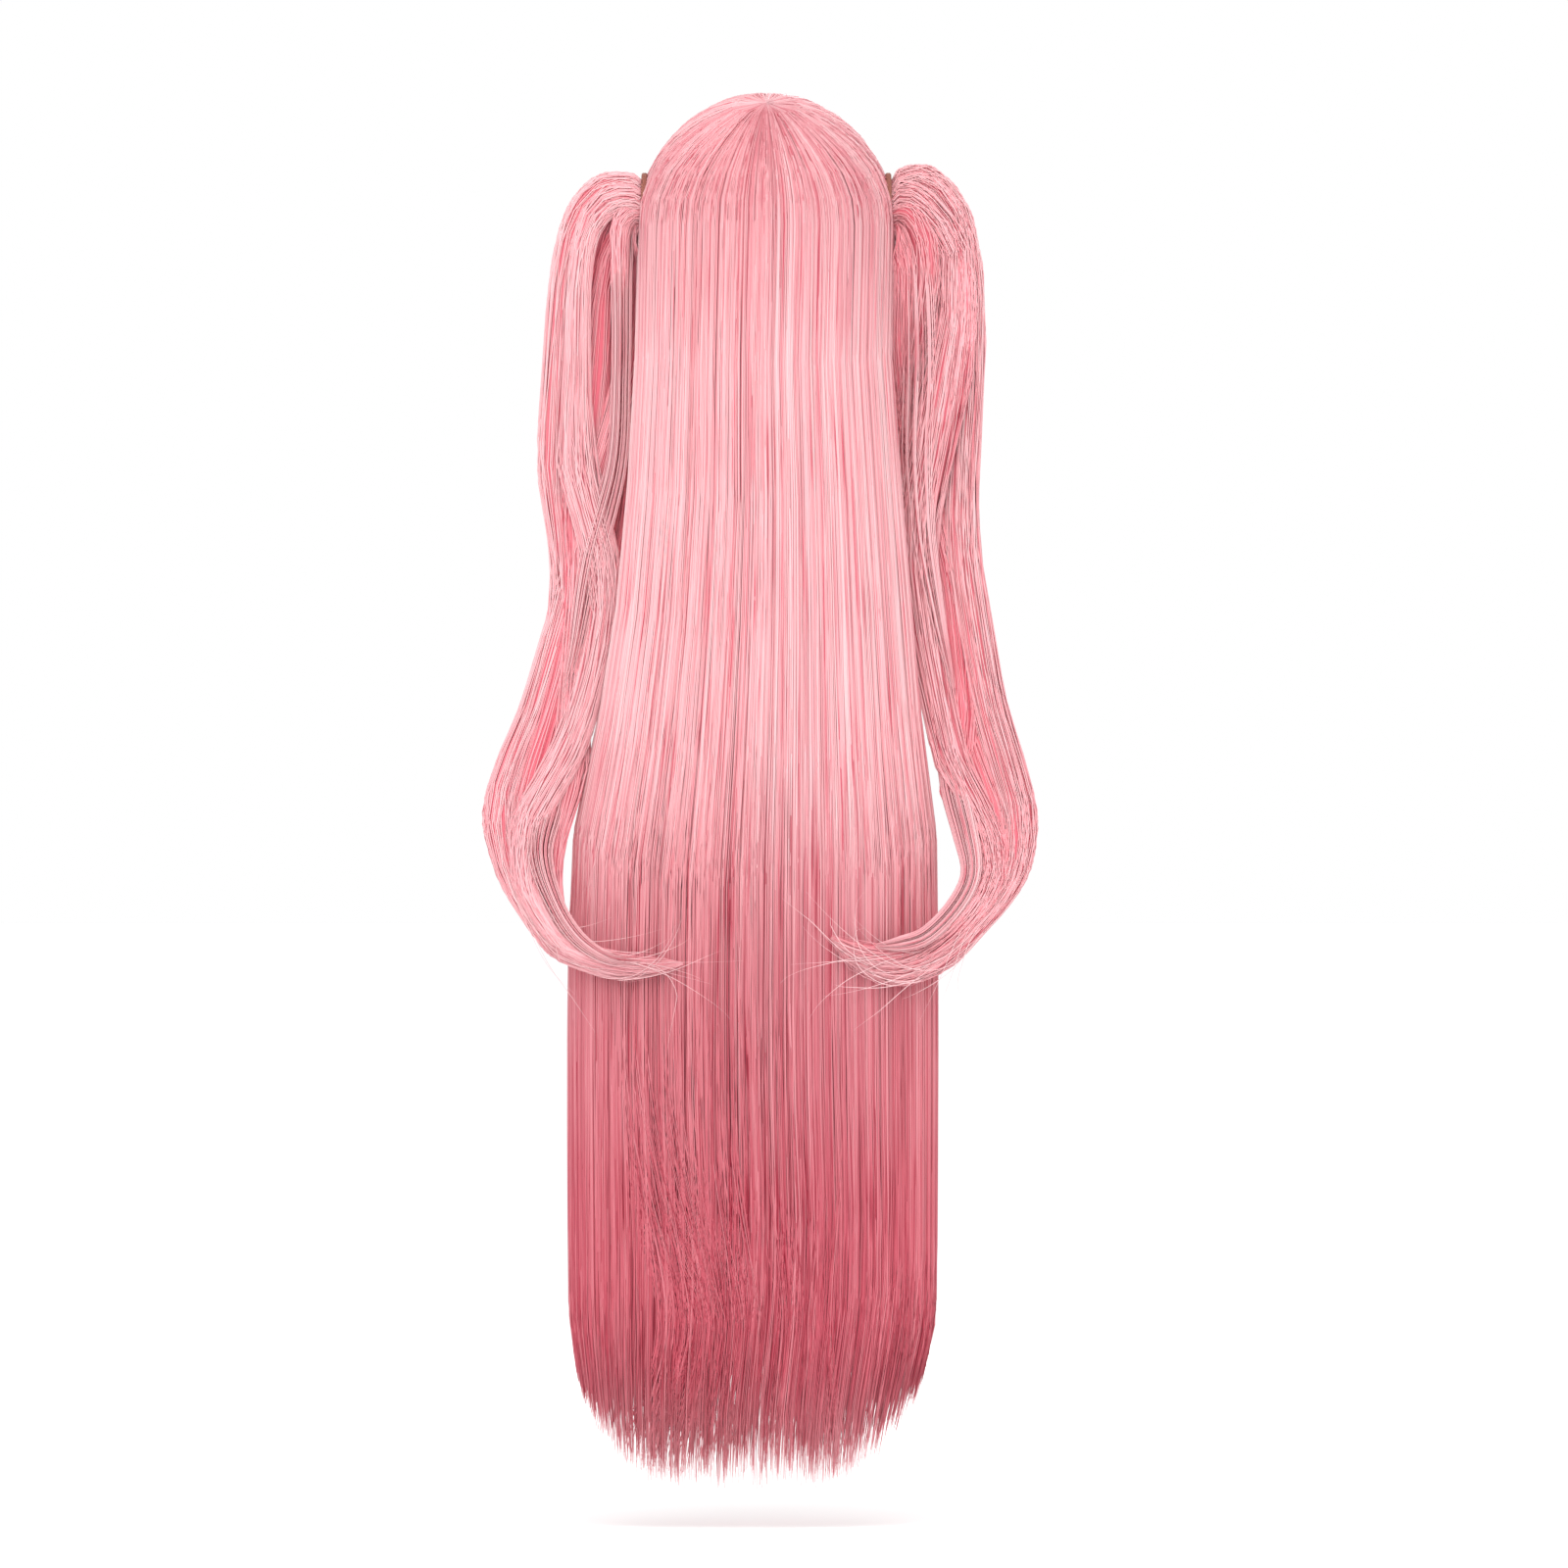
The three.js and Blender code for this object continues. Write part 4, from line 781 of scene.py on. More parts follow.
def grow(name, strands, node_names, slot, finish, **sizes):
    """Fibres along guide lines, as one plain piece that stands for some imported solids."""
    thing = link_object(name, guide_mesh(strands))
    modifier = thing.modifiers.new("fibres", "NODES")
    modifier.node_group = STRAND_TREE
    values = {"width": FIBRE_WIDTH, "sides": FIBRE_SIDES, "frizz": 0.6 * MM, "wave": 60.0 * MM}
    values.update({"seed": 1.0, "finish": finish, **sizes})
    for key, value in values.items():
        modifier[STRAND_INPUTS[key]] = value
    bpy.context.view_layer.update()
    depsgraph = bpy.context.evaluated_depsgraph_get()
    result = bpy.data.meshes.new_from_object(thing.evaluated_get(depsgraph))
    thing.modifiers.remove(modifier)
    thing.data = result
    hand_over(thing, node_names)


def tapered(steps, tip=0.2, start=0.7):
    """Width of a fibre along its length, as a share: full, then finer towards its tip."""
    return mix(1.0, tip, ramp(start, 1.0, np.linspace(0.0, 1.0, steps)))[None, :]


def lock_centres(rng, count, low, high):
    """Uneven lock centres between two azimuths."""
    edges = np.linspace(low, high, count + 1)
    width = (high - low) / count
    return 0.5 * (edges[1:] + edges[:-1]) + rng.uniform(-0.3, 0.3, count) * width


def nearest(centres, values):
    return np.argmin(np.abs(values[:, None] - centres[None, :]), axis=1)


def crown_start(rng, count, from_whorl):
    """Where strands leave the cap, as a run before the widest level, and which leave the whorl."""
    at_whorl = rng.uniform(0.0, 1.0, count) < from_whorl
    way = np.where(
        at_whorl, rng.uniform(0.0, 0.04, count), 0.05 + 0.87 * rng.uniform(0.0, 1.0, count) ** 1.2
    )
    return -CROWN_ARC * (1.0 - way), at_whorl


def hem_sway(turn, fallen):
    """Degrees by which the long hair swings aside: the ends curve towards the wearer's left."""
    lean = 0.9 * np.sin(6.0 * turn + 1.0) + 0.3 * np.sin(13.0 * turn + 2.0)
    swing = 4.2 * ramp(0.84, 1.0, fallen) - 1.6 * ramp(0.66, 0.8, fallen)
    return (swing + lean * ramp(0.62, 0.95, fallen)) * np.cos(turn)


def edge_sway(azimuth, fallen):
    """Metres by which the ends at both sides draw in, more so at the wearer's right."""
    side = np.sin(np.radians(azimuth))
    return np.where(side < 0.0, RIGHT_DRAW, -LEFT_DRAW) * side**2 * ramp(0.87, 1.02, fallen)


def back_strands(rng, count, depth, edge_fill, from_whorl, steps):
    """Long hair from the whorl or lower on the cap to the hem, at depths from 0 to 1."""
    crown_steps, fall_steps = steps
    azimuth = rng.uniform(-EAR_AZIMUTH, EAR_AZIMUTH, count)
    locks = lock_centres(rng, 34, -EAR_AZIMUTH, EAR_AZIMUTH)
    wisps = lock_centres(rng, 150, -EAR_AZIMUTH, EAR_AZIMUTH)
    lock, wisp = nearest(locks, azimuth), nearest(wisps, azimuth)
    off_lock, off_wisp = azimuth - locks[lock], azimuth - wisps[wisp]
    start, at_whorl = crown_start(rng, count, from_whorl)
    lock_width = 2.0 * EAR_AZIMUTH / len(locks)
    depth = depth + 0.1 * (2.0 * off_lock / lock_width) ** 2
    at_edge = np.abs(azimuth) > EAR_AZIMUTH - 9.0
    depth = np.where(at_edge, edge_fill, depth)
    side = np.abs(np.sin(np.radians(azimuth)))
    cut = 2.0 * rng.normal(0.0, 1.0, len(wisps))[wisp]
    trimmed = 52.0 * rng.uniform(0.0, 1.0, count)
    trimmed = trimmed + np.where(rng.uniform(0, 1, count) < 0.1, 70.0, 0.0)
    end = CURTAIN_FALL - HEM_RISE * side**HEM_ROUND + (18.0 + cut - trimmed) * MM
    crown_run = start[:, None] * np.linspace(1.0, 0.0, crown_steps, endpoint=False)
    fall_run = end[:, None] * (1.0 - (1.0 - np.linspace(0.0, 1.0, fall_steps)) ** 1.25)
    run = np.concatenate([crown_run, fall_run], axis=1)
    fallen = np.clip(run / CURTAIN_FALL, 0.0, 1.0)
    # Strands wander, sway in locks near the hem and draw together a little in wisps
    phase = rng.uniform(0.0, 6.3, (count, 1))
    wander = rng.normal(0.0, 0.5, (count, 1))
    wander = wander * np.sin(fallen * rng.uniform(3.0, 9.0, (count, 1)) + phase)
    sway = hem_sway(np.radians(azimuth)[:, None], fallen)
    gather = 0.15 * ramp(0.0, 0.3, fallen) + 0.1 * ramp(0.7, 1.0, fallen)
    free = np.where(rng.uniform(0.0, 1.0, (count, 1)) < 0.1, 2.2, 0.8)
    loose = 0.3 * rng.normal(0.0, 1.0, len(wisps))[wisp][:, None]
    loose = loose + free * rng.normal(0.0, 1.0, (count, 1))
    bow = rng.normal(0.0, 0.5, len(wisps))[wisp][:, None]
    bow = bow * ramp(0.6, 0.8, fallen) * ramp(1.0, 0.8, fallen)
    loose = (loose * ramp(0.7, 1.0, fallen) + bow) * np.cos(np.radians(azimuth))[:, None]
    drawn = azimuth[:, None] - off_wisp[:, None] * gather + wander * ramp(0.0, 0.15, fallen)
    angle = drawn + sway + loose
    angle = np.clip(angle, -EAR_AZIMUTH, EAR_AZIMUTH)
    sunk = np.where(at_whorl, 0.25, 0.75) - depth
    under = 1.0 - ramp(0.0, 22.0 * MM, run - start[:, None])
    rooted = depth[:, None] + np.maximum(sunk, 0.0)[:, None] * under
    points = part_round_ties(hair_point(run, angle, rooted, curtain_point))
    points[..., 1] += rng.normal(0.0, 2.5 * MM, (count, 1)) * ramp(0.85, 1.0, fallen)
    points[..., 0] += edge_sway(azimuth[:, None], fallen)
    # Painted shade: a darker wedge just below the whorl, at the middle of the back
    whorl_shade = 0.3 * np.exp(-((points[..., 0] / (17.0 * MM)) ** 2)) * ramp(-0.05, -0.03, points[..., 2])
    whorl_shade = whorl_shade * (points[..., 1] > 0.03) * (1.0 - ramp(-0.006, 0.003, points[..., 2]))
    deep = np.interp(points[..., 2], PAINTED_SHADE_HEIGHTS, PAINTED_SHADE_SHARES) + whorl_shade
    # Tone differs at random by strand, wisp and lock; strands lying deeper in the hair are painted
    # darker as shade
    tone = rng.normal(0.0, 0.42, count) + rng.normal(0.0, 0.16, len(wisps))[wisp]
    tone = tone + rng.normal(0.0, 0.08, len(locks))[lock] + 0.1 - 0.6 * np.minimum(depth, 0.6)
    across = np.radians(azimuth)[:, None] * HAIR_AXES[1]
    # Strands on the inside of the long hair take some painted recess shade
    recess_shade = 0.4 * ramp(0.5, 0.9, depth)[:, None]
    return strand_set(points, tone[:, None], deep, tapered(sum(steps), 0.25, 0.9), across, run, recess_shade)


def hem_strands(rng, count):
    """Shorter ends that fill the hem through its whole depth."""
    steps = 7
    azimuth = rng.uniform(-EAR_AZIMUTH, EAR_AZIMUTH, count)
    turn = np.radians(azimuth)[:, None]
    rise = HEM_RISE * np.abs(np.sin(turn[:, 0])) ** HEM_ROUND
    end = CURTAIN_FALL - rise + (8.0 - 46.0 * rng.uniform(0.0, 1.0, count)) * MM
    run = mix(0.8 * CURTAIN_FALL, end[:, None], np.linspace(0.0, 1.0, steps)[None, :])
    fallen = run / CURTAIN_FALL
    depth = rng.uniform(0.1, 0.9, (count, 1)) + 0.0 * run
    loose = rng.normal(0.0, 0.8, (count, 1)) * ramp(0.85, 1.0, fallen)
    angle = azimuth[:, None] + hem_sway(turn, fallen) + loose
    points = curtain_point(np.clip(angle, -EAR_AZIMUTH, EAR_AZIMUTH), run, depth)
    points[..., 0] += edge_sway(azimuth[:, None], fallen)
    tone = rng.normal(0.1, 0.4, (count, 1))
    deep = np.interp(points[..., 2], PAINTED_SHADE_HEIGHTS, PAINTED_SHADE_SHARES)
    return strand_set(points, tone, deep, tapered(steps, 0.3, 0.7), turn * HAIR_AXES[1], run)


def swept_strands(rng, count):
    """Locks on the lower long hair that curve to the wearer's right and back again."""
    steps = 14
    table = np.array(SWEPT_LOCKS)[rng.integers(0, len(SWEPT_LOCKS), count)]
    start, swing, top, width, pale = (table[:, i:i + 1] for i in range(5))
    place = rng.uniform(-1.0, 1.0, (count, 1))
    low = 0.98 + 0.035 * rng.uniform(0.0, 1.0, (count, 1)) ** 0.7
    top = top + 0.09 * rng.uniform(-1.0, 1.0, (count, 1))
    fallen = mix(top, low, np.linspace(0.0, 1.0, steps)[None, :])
    turned = ramp(0.0, 1.0, (fallen - top) / (0.9 - top)) - 0.75 * ramp(0.88, 1.02, fallen)
    angle = start + swing * turned + 0.5 * width * place * (1.0 + 0.6 * ramp(0.9, 1.0, fallen))
    angle = angle + rng.normal(0.0, 0.5, (count, 1)) * ramp(0.8, 1.0, fallen)
    proud = ramp(0.0, 0.08, fallen - top) * rng.uniform(0.55, 1.0, (count, 1))
    depth = 0.3 - 0.36 * proud
    run = fallen * CURTAIN_FALL
    points = curtain_point(angle, run, depth)
    rise = HEM_RISE * np.abs(np.sin(np.radians(angle))) ** HEM_ROUND
    points[..., 2] += rise * ramp(0.9, 1.0, fallen)
    tone = pale + rng.normal(0.0, 0.36, (count, 1))
    deep = np.interp(points[..., 2], PAINTED_SHADE_HEIGHTS, PAINTED_SHADE_SHARES)
    across = np.radians(start + 0.5 * width * place) * HAIR_AXES[1]
    return strand_set(points, tone, deep, tapered(steps, 0.2, 0.8), across, run)


def fringe_strands(rng, count):
    """Plain fringe, combed from the whorl to just above the eyes."""
    crown_steps, fall_steps = 9, 4
    azimuth = rng.uniform(TEMPLE_AZIMUTH - 2.0, 362.0 - TEMPLE_AZIMUTH, count)
    locks = lock_centres(rng, 30, TEMPLE_AZIMUTH, 360.0 - TEMPLE_AZIMUTH)
    lock = nearest(locks, azimuth)
    start, at_whorl = crown_start(rng, count, 0.5)
    depth = 0.3 * rng.uniform(0.0, 1.0, count) ** 1.5
    trimmed = 1.0 + 2.0 * rng.exponential(1.0, count) + 1.5 * rng.normal(0.0, 1.0, len(locks))[lock]
    end = FRINGE_FALL - np.maximum(trimmed, 0.0) * MM
    crown_run = start[:, None] * np.linspace(1.0, 0.0, crown_steps, endpoint=False)
    fall_run = end[:, None] * np.linspace(0.0, 1.0, fall_steps)
    run = np.concatenate([crown_run, fall_run], axis=1)
    gather = 0.55 * ramp(-0.07, FRINGE_FALL, run)
    angle = azimuth[:, None] - (azimuth - locks[lock])[:, None] * gather
    angle = angle + rng.normal(0.0, 1.0, (count, 1)) * ramp(-0.05, FRINGE_FALL, run)
    sunk = np.maximum(np.where(at_whorl, 0.25, 0.75) - depth, 0.0)
    under = 1.0 - ramp(0.0, 20.0 * MM, run - start[:, None])
    rooted = depth[:, None] * (1.0 - 0.7 * ramp(-0.04, FRINGE_FALL, run)) + sunk[:, None] * under
    points = hair_point(run, angle, rooted, straight_point)
    # Tone differs at random; strands lying deeper are painted darker as shade
    tone = rng.normal(0.05, 0.42, (count, 1)) - 0.4 * depth[:, None]
    across = np.radians(azimuth)[:, None] * HAIR_AXES[1]
    return strand_set(points, tone, 0.06, tapered(crown_steps + fall_steps, start=0.8), across, run)


SIDE_DENSE = along(SIDE_LOCK, np.linspace(0.0, len(SIDE_LOCK) - 1, 200))


def side_bounds(run):
    """Rear and front azimuth of a side lock and the share of its thickness lost."""
    share = np.clip(run / SIDE_FALL, 0.0, 1.0)
    return [np.interp(share, SIDE_DENSE[:, 0], SIDE_DENSE[:, i]) for i in (1, 2, 3)]


def side_strands(rng, count, side):
    """Plain lock in front of one ear."""
    crown_steps, fall_steps = 8, 9
    place = rng.uniform(-0.04, 1.04, count)
    start, at_whorl = crown_start(rng, count, 0.4)
    depth = 0.02 + 0.6 * rng.uniform(0.0, 1.0, count) ** 1.4
    end = SIDE_FALL * (1.0 - 0.3 * rng.uniform(0.0, 1.0, count) ** 1.5)
    crown_run = start[:, None] * np.linspace(1.0, 0.0, crown_steps, endpoint=False)
    fall_run = end[:, None] * np.linspace(0.0, 1.0, fall_steps)
    run = np.concatenate([crown_run, fall_run], axis=1)
    rear, front, lost = side_bounds(run)
    angle = side * mix(rear, front, place[:, None])
    sunk = np.maximum(np.where(at_whorl, 0.25, 0.75) - depth, 0.0)
    under = 1.0 - ramp(0.0, 20.0 * MM, run - start[:, None])
    rooted = (depth[:, None] + sunk[:, None] * under) * (1.0 - lost)
    points = part_round_ties(hair_point(run, angle, rooted, straight_point))
    # Tone differs at random; strands lying deeper are painted darker as shade
    tone = rng.normal(0.05, 0.42, (count, 1)) - 0.4 * depth[:, None]
    across = place[:, None] * (TEMPLE_AZIMUTH - EAR_AZIMUTH) * math.pi / 180.0 * HAIR_AXES[1]
    return strand_set(points, tone, 0.06, tapered(crown_steps + fall_steps, start=0.6), across, run)


def tail_rows(tail):
    """Sections of a pigtail from the cap through its tie to its tip, in metres.

    The columns are x and z of the inner edge, x and z of the outer edge, back and depth.
    """
    side, spread, drop = tail["side"], tail["spread"], tail["drop"]
    table = tail["sections"]
    x_in = side * (HAIR_AXES[0] + spread * table[:, 0])
    z_in = -ROOT_DROP - drop * table[:, 1]
    x_out = side * (HAIR_AXES[0] + spread * table[:, 2])
    z_out = -ROOT_DROP - drop * table[:, 3]
    depth = PIGTAIL_DEPTH * table[:, 5]
    free = ROOT_BACK + PIGTAIL_SWING * table[:, 4]
    closest = np.maximum(curtain_back_at(x_in, z_in), curtain_back_at(0.5 * (x_in + x_out), z_in))
    back = mix(free, closest + HOOK_CLEARANCE + depth / 2, table[:, 6])
    sections = np.stack([x_in, z_in, x_out, z_out, back, depth], axis=1)
    mouth = HAIR_AXES[0] - TIE_INSET
    widths = (
        (INNER_AXES[0], 0.85),
        (mouth - TIE_WIDTH, 0.95),
        (mouth, 0.95),
        (mouth + 1.5 * MM, 1.0),
    )
    root = []
    for x, share in widths:
        reach = ROOT_RADIUS * share
        low, high = -ROOT_DROP - reach, -ROOT_DROP + reach
        root.append((side * x, low, side * x, high, ROOT_BACK, 2 * reach))
    return np.concatenate([np.array(root), sections])


def tail_point(rows, place, across, deep):
    """Point of a pigtail: across and deep run from -1 to 1 over its section."""
    row = along(rows, place + ROOT_ROWS)
    x = mix(row[..., 0], row[..., 2], 0.5 + 0.5 * across)
    z = mix(row[..., 1], row[..., 3], 0.5 + 0.5 * across)
    return np.stack([x, row[..., 4] + 0.5 * row[..., 5] * deep, z], axis=-1)


def bundle_section(table, place, tip):
    """Centre and half size of a lock, as shares of the pigtail's section, finer near its tip."""
    centre_across, centre_deep, size = (np.interp(place, table[:, 0], table[:, i]) for i in (1, 2, 3))
    return centre_across, centre_deep, size * mix(1.0, tip, ramp(-6.0, 0.0, place - table[-1, 0]))


def recess_shade_share(base, across, deep, place):
    """Share of painted recess shade in a pigtail, where hair lies in a hollow that only light through
    other hair reaches.
    """
    within = ramp(0.5, -0.1, deep) * ramp(-0.9, -0.5, deep) * ramp(0.85, 0.4, across)
    shaded = 0.5 * within * ramp(0.5, 2.0, place) * ramp(15.0, 12.0, place)
    return base * ramp(-0.8, -0.45, deep) + shaded


def tail_shade(points):
    """Share of the deeper tone in a pigtail, which darkens towards its hook."""
    return 0.02 + 0.16 * ramp(-0.36, -0.5, points[..., 2])


def held_in(across, deep, place):
    """Keeps a lock in its pigtail, and lets it lean on the long hair beside the tie."""
    below_tie = 0.24 * ramp(12.4, 11.4, place) * ramp(-1.0, 1.0, place)
    at_tie = 0.3 * ramp(-1.0, 0.0, place) * ramp(3.0, 1.0, place)
    reach = 1.03 + np.where(across < 0.0, below_tie + at_tie, 0.0)
    held = np.minimum(1.0, reach / np.maximum(np.sqrt(across**2 + deep**2), 1e-6))
    return across * held, deep * held


def bundle_strands(rng, tail, count, base, table):
    """Strands round one lock of a pigtail, from the cap to their ends near its tip."""
    table = np.array(table)
    rows = tail_rows(tail)
    last = table[-1, 0]
    turn = rng.uniform(0.0, 2.0 * math.pi, (count, 1))
    reach = 1.06 - 0.34 * rng.uniform(0.0, 1.0, (count, 1)) ** 2
    end = last - 0.1 - 3.6 * rng.uniform(0.0, 1.0, count) ** 1.6
    # More points where the hair bends, at the tie and in the hook
    even = np.linspace(0.0, 1.0, TAIL_STEPS)
    share = np.interp(even, (0.0, 0.2, 0.32, 0.54, 1.0), (0.0, 0.18, 0.29, 0.58, 1.0))
    place = mix(table[0, 0], end[:, None], share[None, :])
    centre_across, centre_deep, size = bundle_section(table, place, 0.6)
    stray = rng.normal(0.0, 0.06, (count, 1)) * ramp(last - 4.0, last, place)
    drift = rng.normal(0.0, 0.4, (count, 1)) * np.sin(0.4 * place + rng.uniform(0.0, 6.3, (count, 1)))
    angle = turn + drift
    across = centre_across + size * reach * np.cos(angle) + stray * 2.0
    deep = centre_deep + size * reach * np.sin(angle) + stray
    across, deep = held_in(across, deep, place)
    points = tail_point(rows, place, across, deep)
    # Tone differs at random; the back of each lock is painted paler and its front darker, as painted
    # light and shade
    tone = rng.normal(0.12, 0.36, (count, 1)) + 0.2 * np.clip(deep, -1.0, 0.6)
    recess_shade = recess_shade_share(base, across, deep, place)
    comb = turn * 0.5 * table[:, 3].mean() * PIGTAIL_DEPTH + table[3, 1]
    shade = tail_shade(points)
    width = tapered(TAIL_STEPS, 0.25, 0.85)
    return strand_set(points, tone, shade, width, comb, place * 30.0 * MM, recess_shade)


def proud_strands(rng, count, tail, table):
    """Strands of a lock that stands proud of a pigtail and sinks into it at both ends."""
    last = len(table) - 1
    ends = last - 0.8 * rng.uniform(0.0, 1.0, (count, 1)) ** 1.5
    place = ends * np.linspace(0.0, 1.0, TAIL_STEPS)

    def centre(at):
        row = along(table, at)
        x = tail["side"] * (HAIR_AXES[0] + tail["spread"] * row[..., 0])
        y = ROOT_BACK + PIGTAIL_SWING * row[..., 2]
        return np.stack([x, y, -ROOT_DROP - tail["drop"] * row[..., 1]], axis=-1), row

    middle, row = centre(place)
    ahead, _ = centre(np.minimum(place + 0.1, last))
    behind, _ = centre(np.maximum(place - 0.1, 0.0))
    sideways = np.cross(ahead - behind, np.array([0.0, 1.0, 0.0]))
    sideways /= np.linalg.norm(sideways, axis=-1, keepdims=True)
    turn = rng.uniform(0.0, 2 * math.pi, (count, 1))
    reach = np.sqrt(rng.uniform(0.05, 1.0, (count, 1))) * 0.5 * PIGTAIL_DEPTH
    points = middle + sideways * (reach * np.cos(turn) * row[..., 3])[..., None]
    points[..., 1] += reach * np.sin(turn) * row[..., 4]
    points[..., 1] -= 16.0 * MM * (1.0 - ramp(0.0, 0.35 * last, place))
    tone = rng.normal(0.15, 0.4, (count, 1))
    shade = tail_shade(points)
    width = tapered(TAIL_STEPS, start=0.8)
    return strand_set(points, tone, shade, width, turn * 6.0 * MM, place * 90.0 * MM)


def stray_strands(rng, count, tail):
    """Loose hairs that fly from a pigtail's hook."""
    rows = tail_rows(tail)
    last = len(tail["sections"]) - 1
    start = last - rng.uniform(1.5, 6.0, (count, 1))
    share = np.linspace(0.0, 1.0, TAIL_STEPS)[None, :]
    place = np.minimum(start + 2.6 * share, last - 0.05)
    across = rng.uniform(-0.6, 0.9, (count, 1)) + 0.0 * place
    points = tail_point(rows, place, across, 0.5 + 0.4 * share)
    away = rng.normal(0.0, 1.0, (count, 1, 3)) * np.array([22.0, 5.0, 26.0]) * MM
    points = points + away * (share**1.8)[..., None]
    behind = curtain_back_at(points[..., 0], points[..., 2])
    points[..., 1] = np.maximum(points[..., 1], behind + HOOK_CLEARANCE)
    return strand_set(points, 0.8, 0.0, 0.55 * tapered(TAIL_STEPS, start=0.5), 0.0, 0.0)


def sheet_faces(columns, rows):
    """Faces of a closed sheet whose two sides have columns by rows quads."""
    index = np.arange((rows + 1) * (columns + 1)).reshape(rows + 1, columns + 1)
    half = index.size
    corners = (index[:-1, :-1], index[1:, :-1], index[1:, 1:], index[:-1, 1:])
    a, b, c, d = (corner.ravel() for corner in corners)
    faces = [np.stack([a, b, c, d], axis=1), np.stack([a, d, c, b], axis=1) + half]
    rims = (index[0, ::-1], index[:, 0], index[-1, :], index[::-1, -1])
    for rim in rims:
        faces.append(np.stack([rim[:-1], rim[:-1] + half, rim[1:] + half, rim[1:]], axis=1))
    return np.concatenate(faces).tolist()


def sheet_points(columns, rows, point):
    across, down = np.meshgrid(np.linspace(0.0, 1.0, columns + 1), np.linspace(0.0, 1.0, rows + 1))
    return np.concatenate([point(across, down, face).reshape(-1, 3) for face in (0.0, 1.0)])


def signed_volume(mesh):
    mesh.calc_loop_triangles()
    corners = np.zeros(3 * len(mesh.loop_triangles), dtype=np.int32)
    mesh.loop_triangles.foreach_get("vertices", corners)
    points = np.zeros(3 * len(mesh.vertices), dtype=np.float32)
    mesh.vertices.foreach_get("co", points)
    a, b, c = np.moveaxis(points.reshape(-1, 3)[corners.reshape(-1, 3)].astype(float), 1, 0)
    return float(np.einsum("ij,ij->i", a, np.cross(b, c)).sum()) / 6.0


def add_body(name, vertices, faces, values, node_names, finish):
    """Closed smooth body with its faces turned outwards."""
    mesh = bpy.data.meshes.new(name)
    mesh.from_pydata(vertices.tolist(), [], faces)
    mesh.update()
    if signed_volume(mesh) < 0.0:
        mesh.flip_normals()
    store_attributes(mesh, values)
    mesh.shade_smooth()
    mesh.materials.append(finish)
    hand_over(link_object(name, mesh), node_names)


def add_sheet(name, columns, rows, point, combed, node_names, finish):
    """Closed sheet. point places it, and combed gives deep, across and run of each of its points."""
    vertices = sheet_points(columns, rows, point)
    deep, across, run = combed(vertices)
    comb = np.stack(np.broadcast_arrays(across, run, 0.0 * run), axis=-1)
    values = {"deep": np.broadcast_to(deep, len(vertices)), "comb": comb}
    add_body(name, vertices, sheet_faces(columns, rows), values, node_names, finish)


def combed_down(vertices):
    """Painted shade by height, and comb of hair on the head and below it, measured round the head and
    downwards.
    """
    around = np.arctan2(vertices[:, 0], vertices[:, 1]) * HAIR_AXES[1]
    return np.interp(vertices[:, 2], PAINTED_SHADE_HEIGHTS, PAINTED_SHADE_SHARES), around, -vertices[:, 2]


def combed_level(vertices):
    """The same for short hair, which keeps one tone."""
    _, around, run = combed_down(vertices)
    return 0.08, around, run


def back_mat(finish):
    """Body of the long hair under its outer fibres, with lock grooves and a ragged hem."""
    rng = np.random.default_rng(11)
    ragged = rng.uniform(0.0, 1.0, 141)
    columns = 140

    def point(across, down, inner):
        azimuth = mix(-EAR_AZIMUTH + 1.5, EAR_AZIMUTH - 1.5, across)
        side = np.abs(np.sin(np.radians(azimuth)))
        cut = (MAT_CUT + MAT_RAGGED * np.interp(across, np.linspace(0.0, 1.0, len(ragged)), ragged)) * MM
        end = CURTAIN_FALL - cut - HEM_RISE * side**HEM_ROUND
        run = mix(MAT_START, end, down)
        groove = 0.05 * (0.5 + 0.5 * np.cos(across * columns / 4.0 * 2.0 * math.pi))
        depth = mix(0.34 + groove, 0.8, inner)
        return part_round_ties(hair_point(run, azimuth, depth, curtain_point))

    nodes = ["crown_hair", "back_hair"]
    add_sheet("back_hair_mat", columns, 44, point, combed_down, nodes, finish)


def fringe_mat(finish):
    """Body of the fringe under its fibres."""

    def point(across, down, inner):
        azimuth = mix(TEMPLE_AZIMUTH - 1.0, 361.0 - TEMPLE_AZIMUTH, across)
        run = mix(MAT_START, FRINGE_FALL - 9.0 * MM, down)
        closing = 0.2 * ramp(0.7, 1.0, down)
        return hair_point(run, azimuth, mix(0.32 - 0.5 * closing, 0.7 - closing, inner), straight_point)

    add_sheet("fringe_mat", 60, 20, point, combed_level, ["fringe"], finish)


def side_mat(side, name, finish):
    """Body of a side lock under its fibres."""

    def point(across, down, inner):
        run = mix(MAT_START, SIDE_FALL * 0.62, down)
        rear, front, lost = side_bounds(run)
        azimuth = side * mix(rear - 0.5, front + 0.5, across)
        depth = mix(0.3, 0.75, inner) * (1.0 - lost)
        return part_round_ties(hair_point(run, azimuth, depth, straight_point))

    node = f"side_hair_{name}"
    add_sheet(f"side_mat_{name}", 20, 26, point, combed_level, [node], finish)


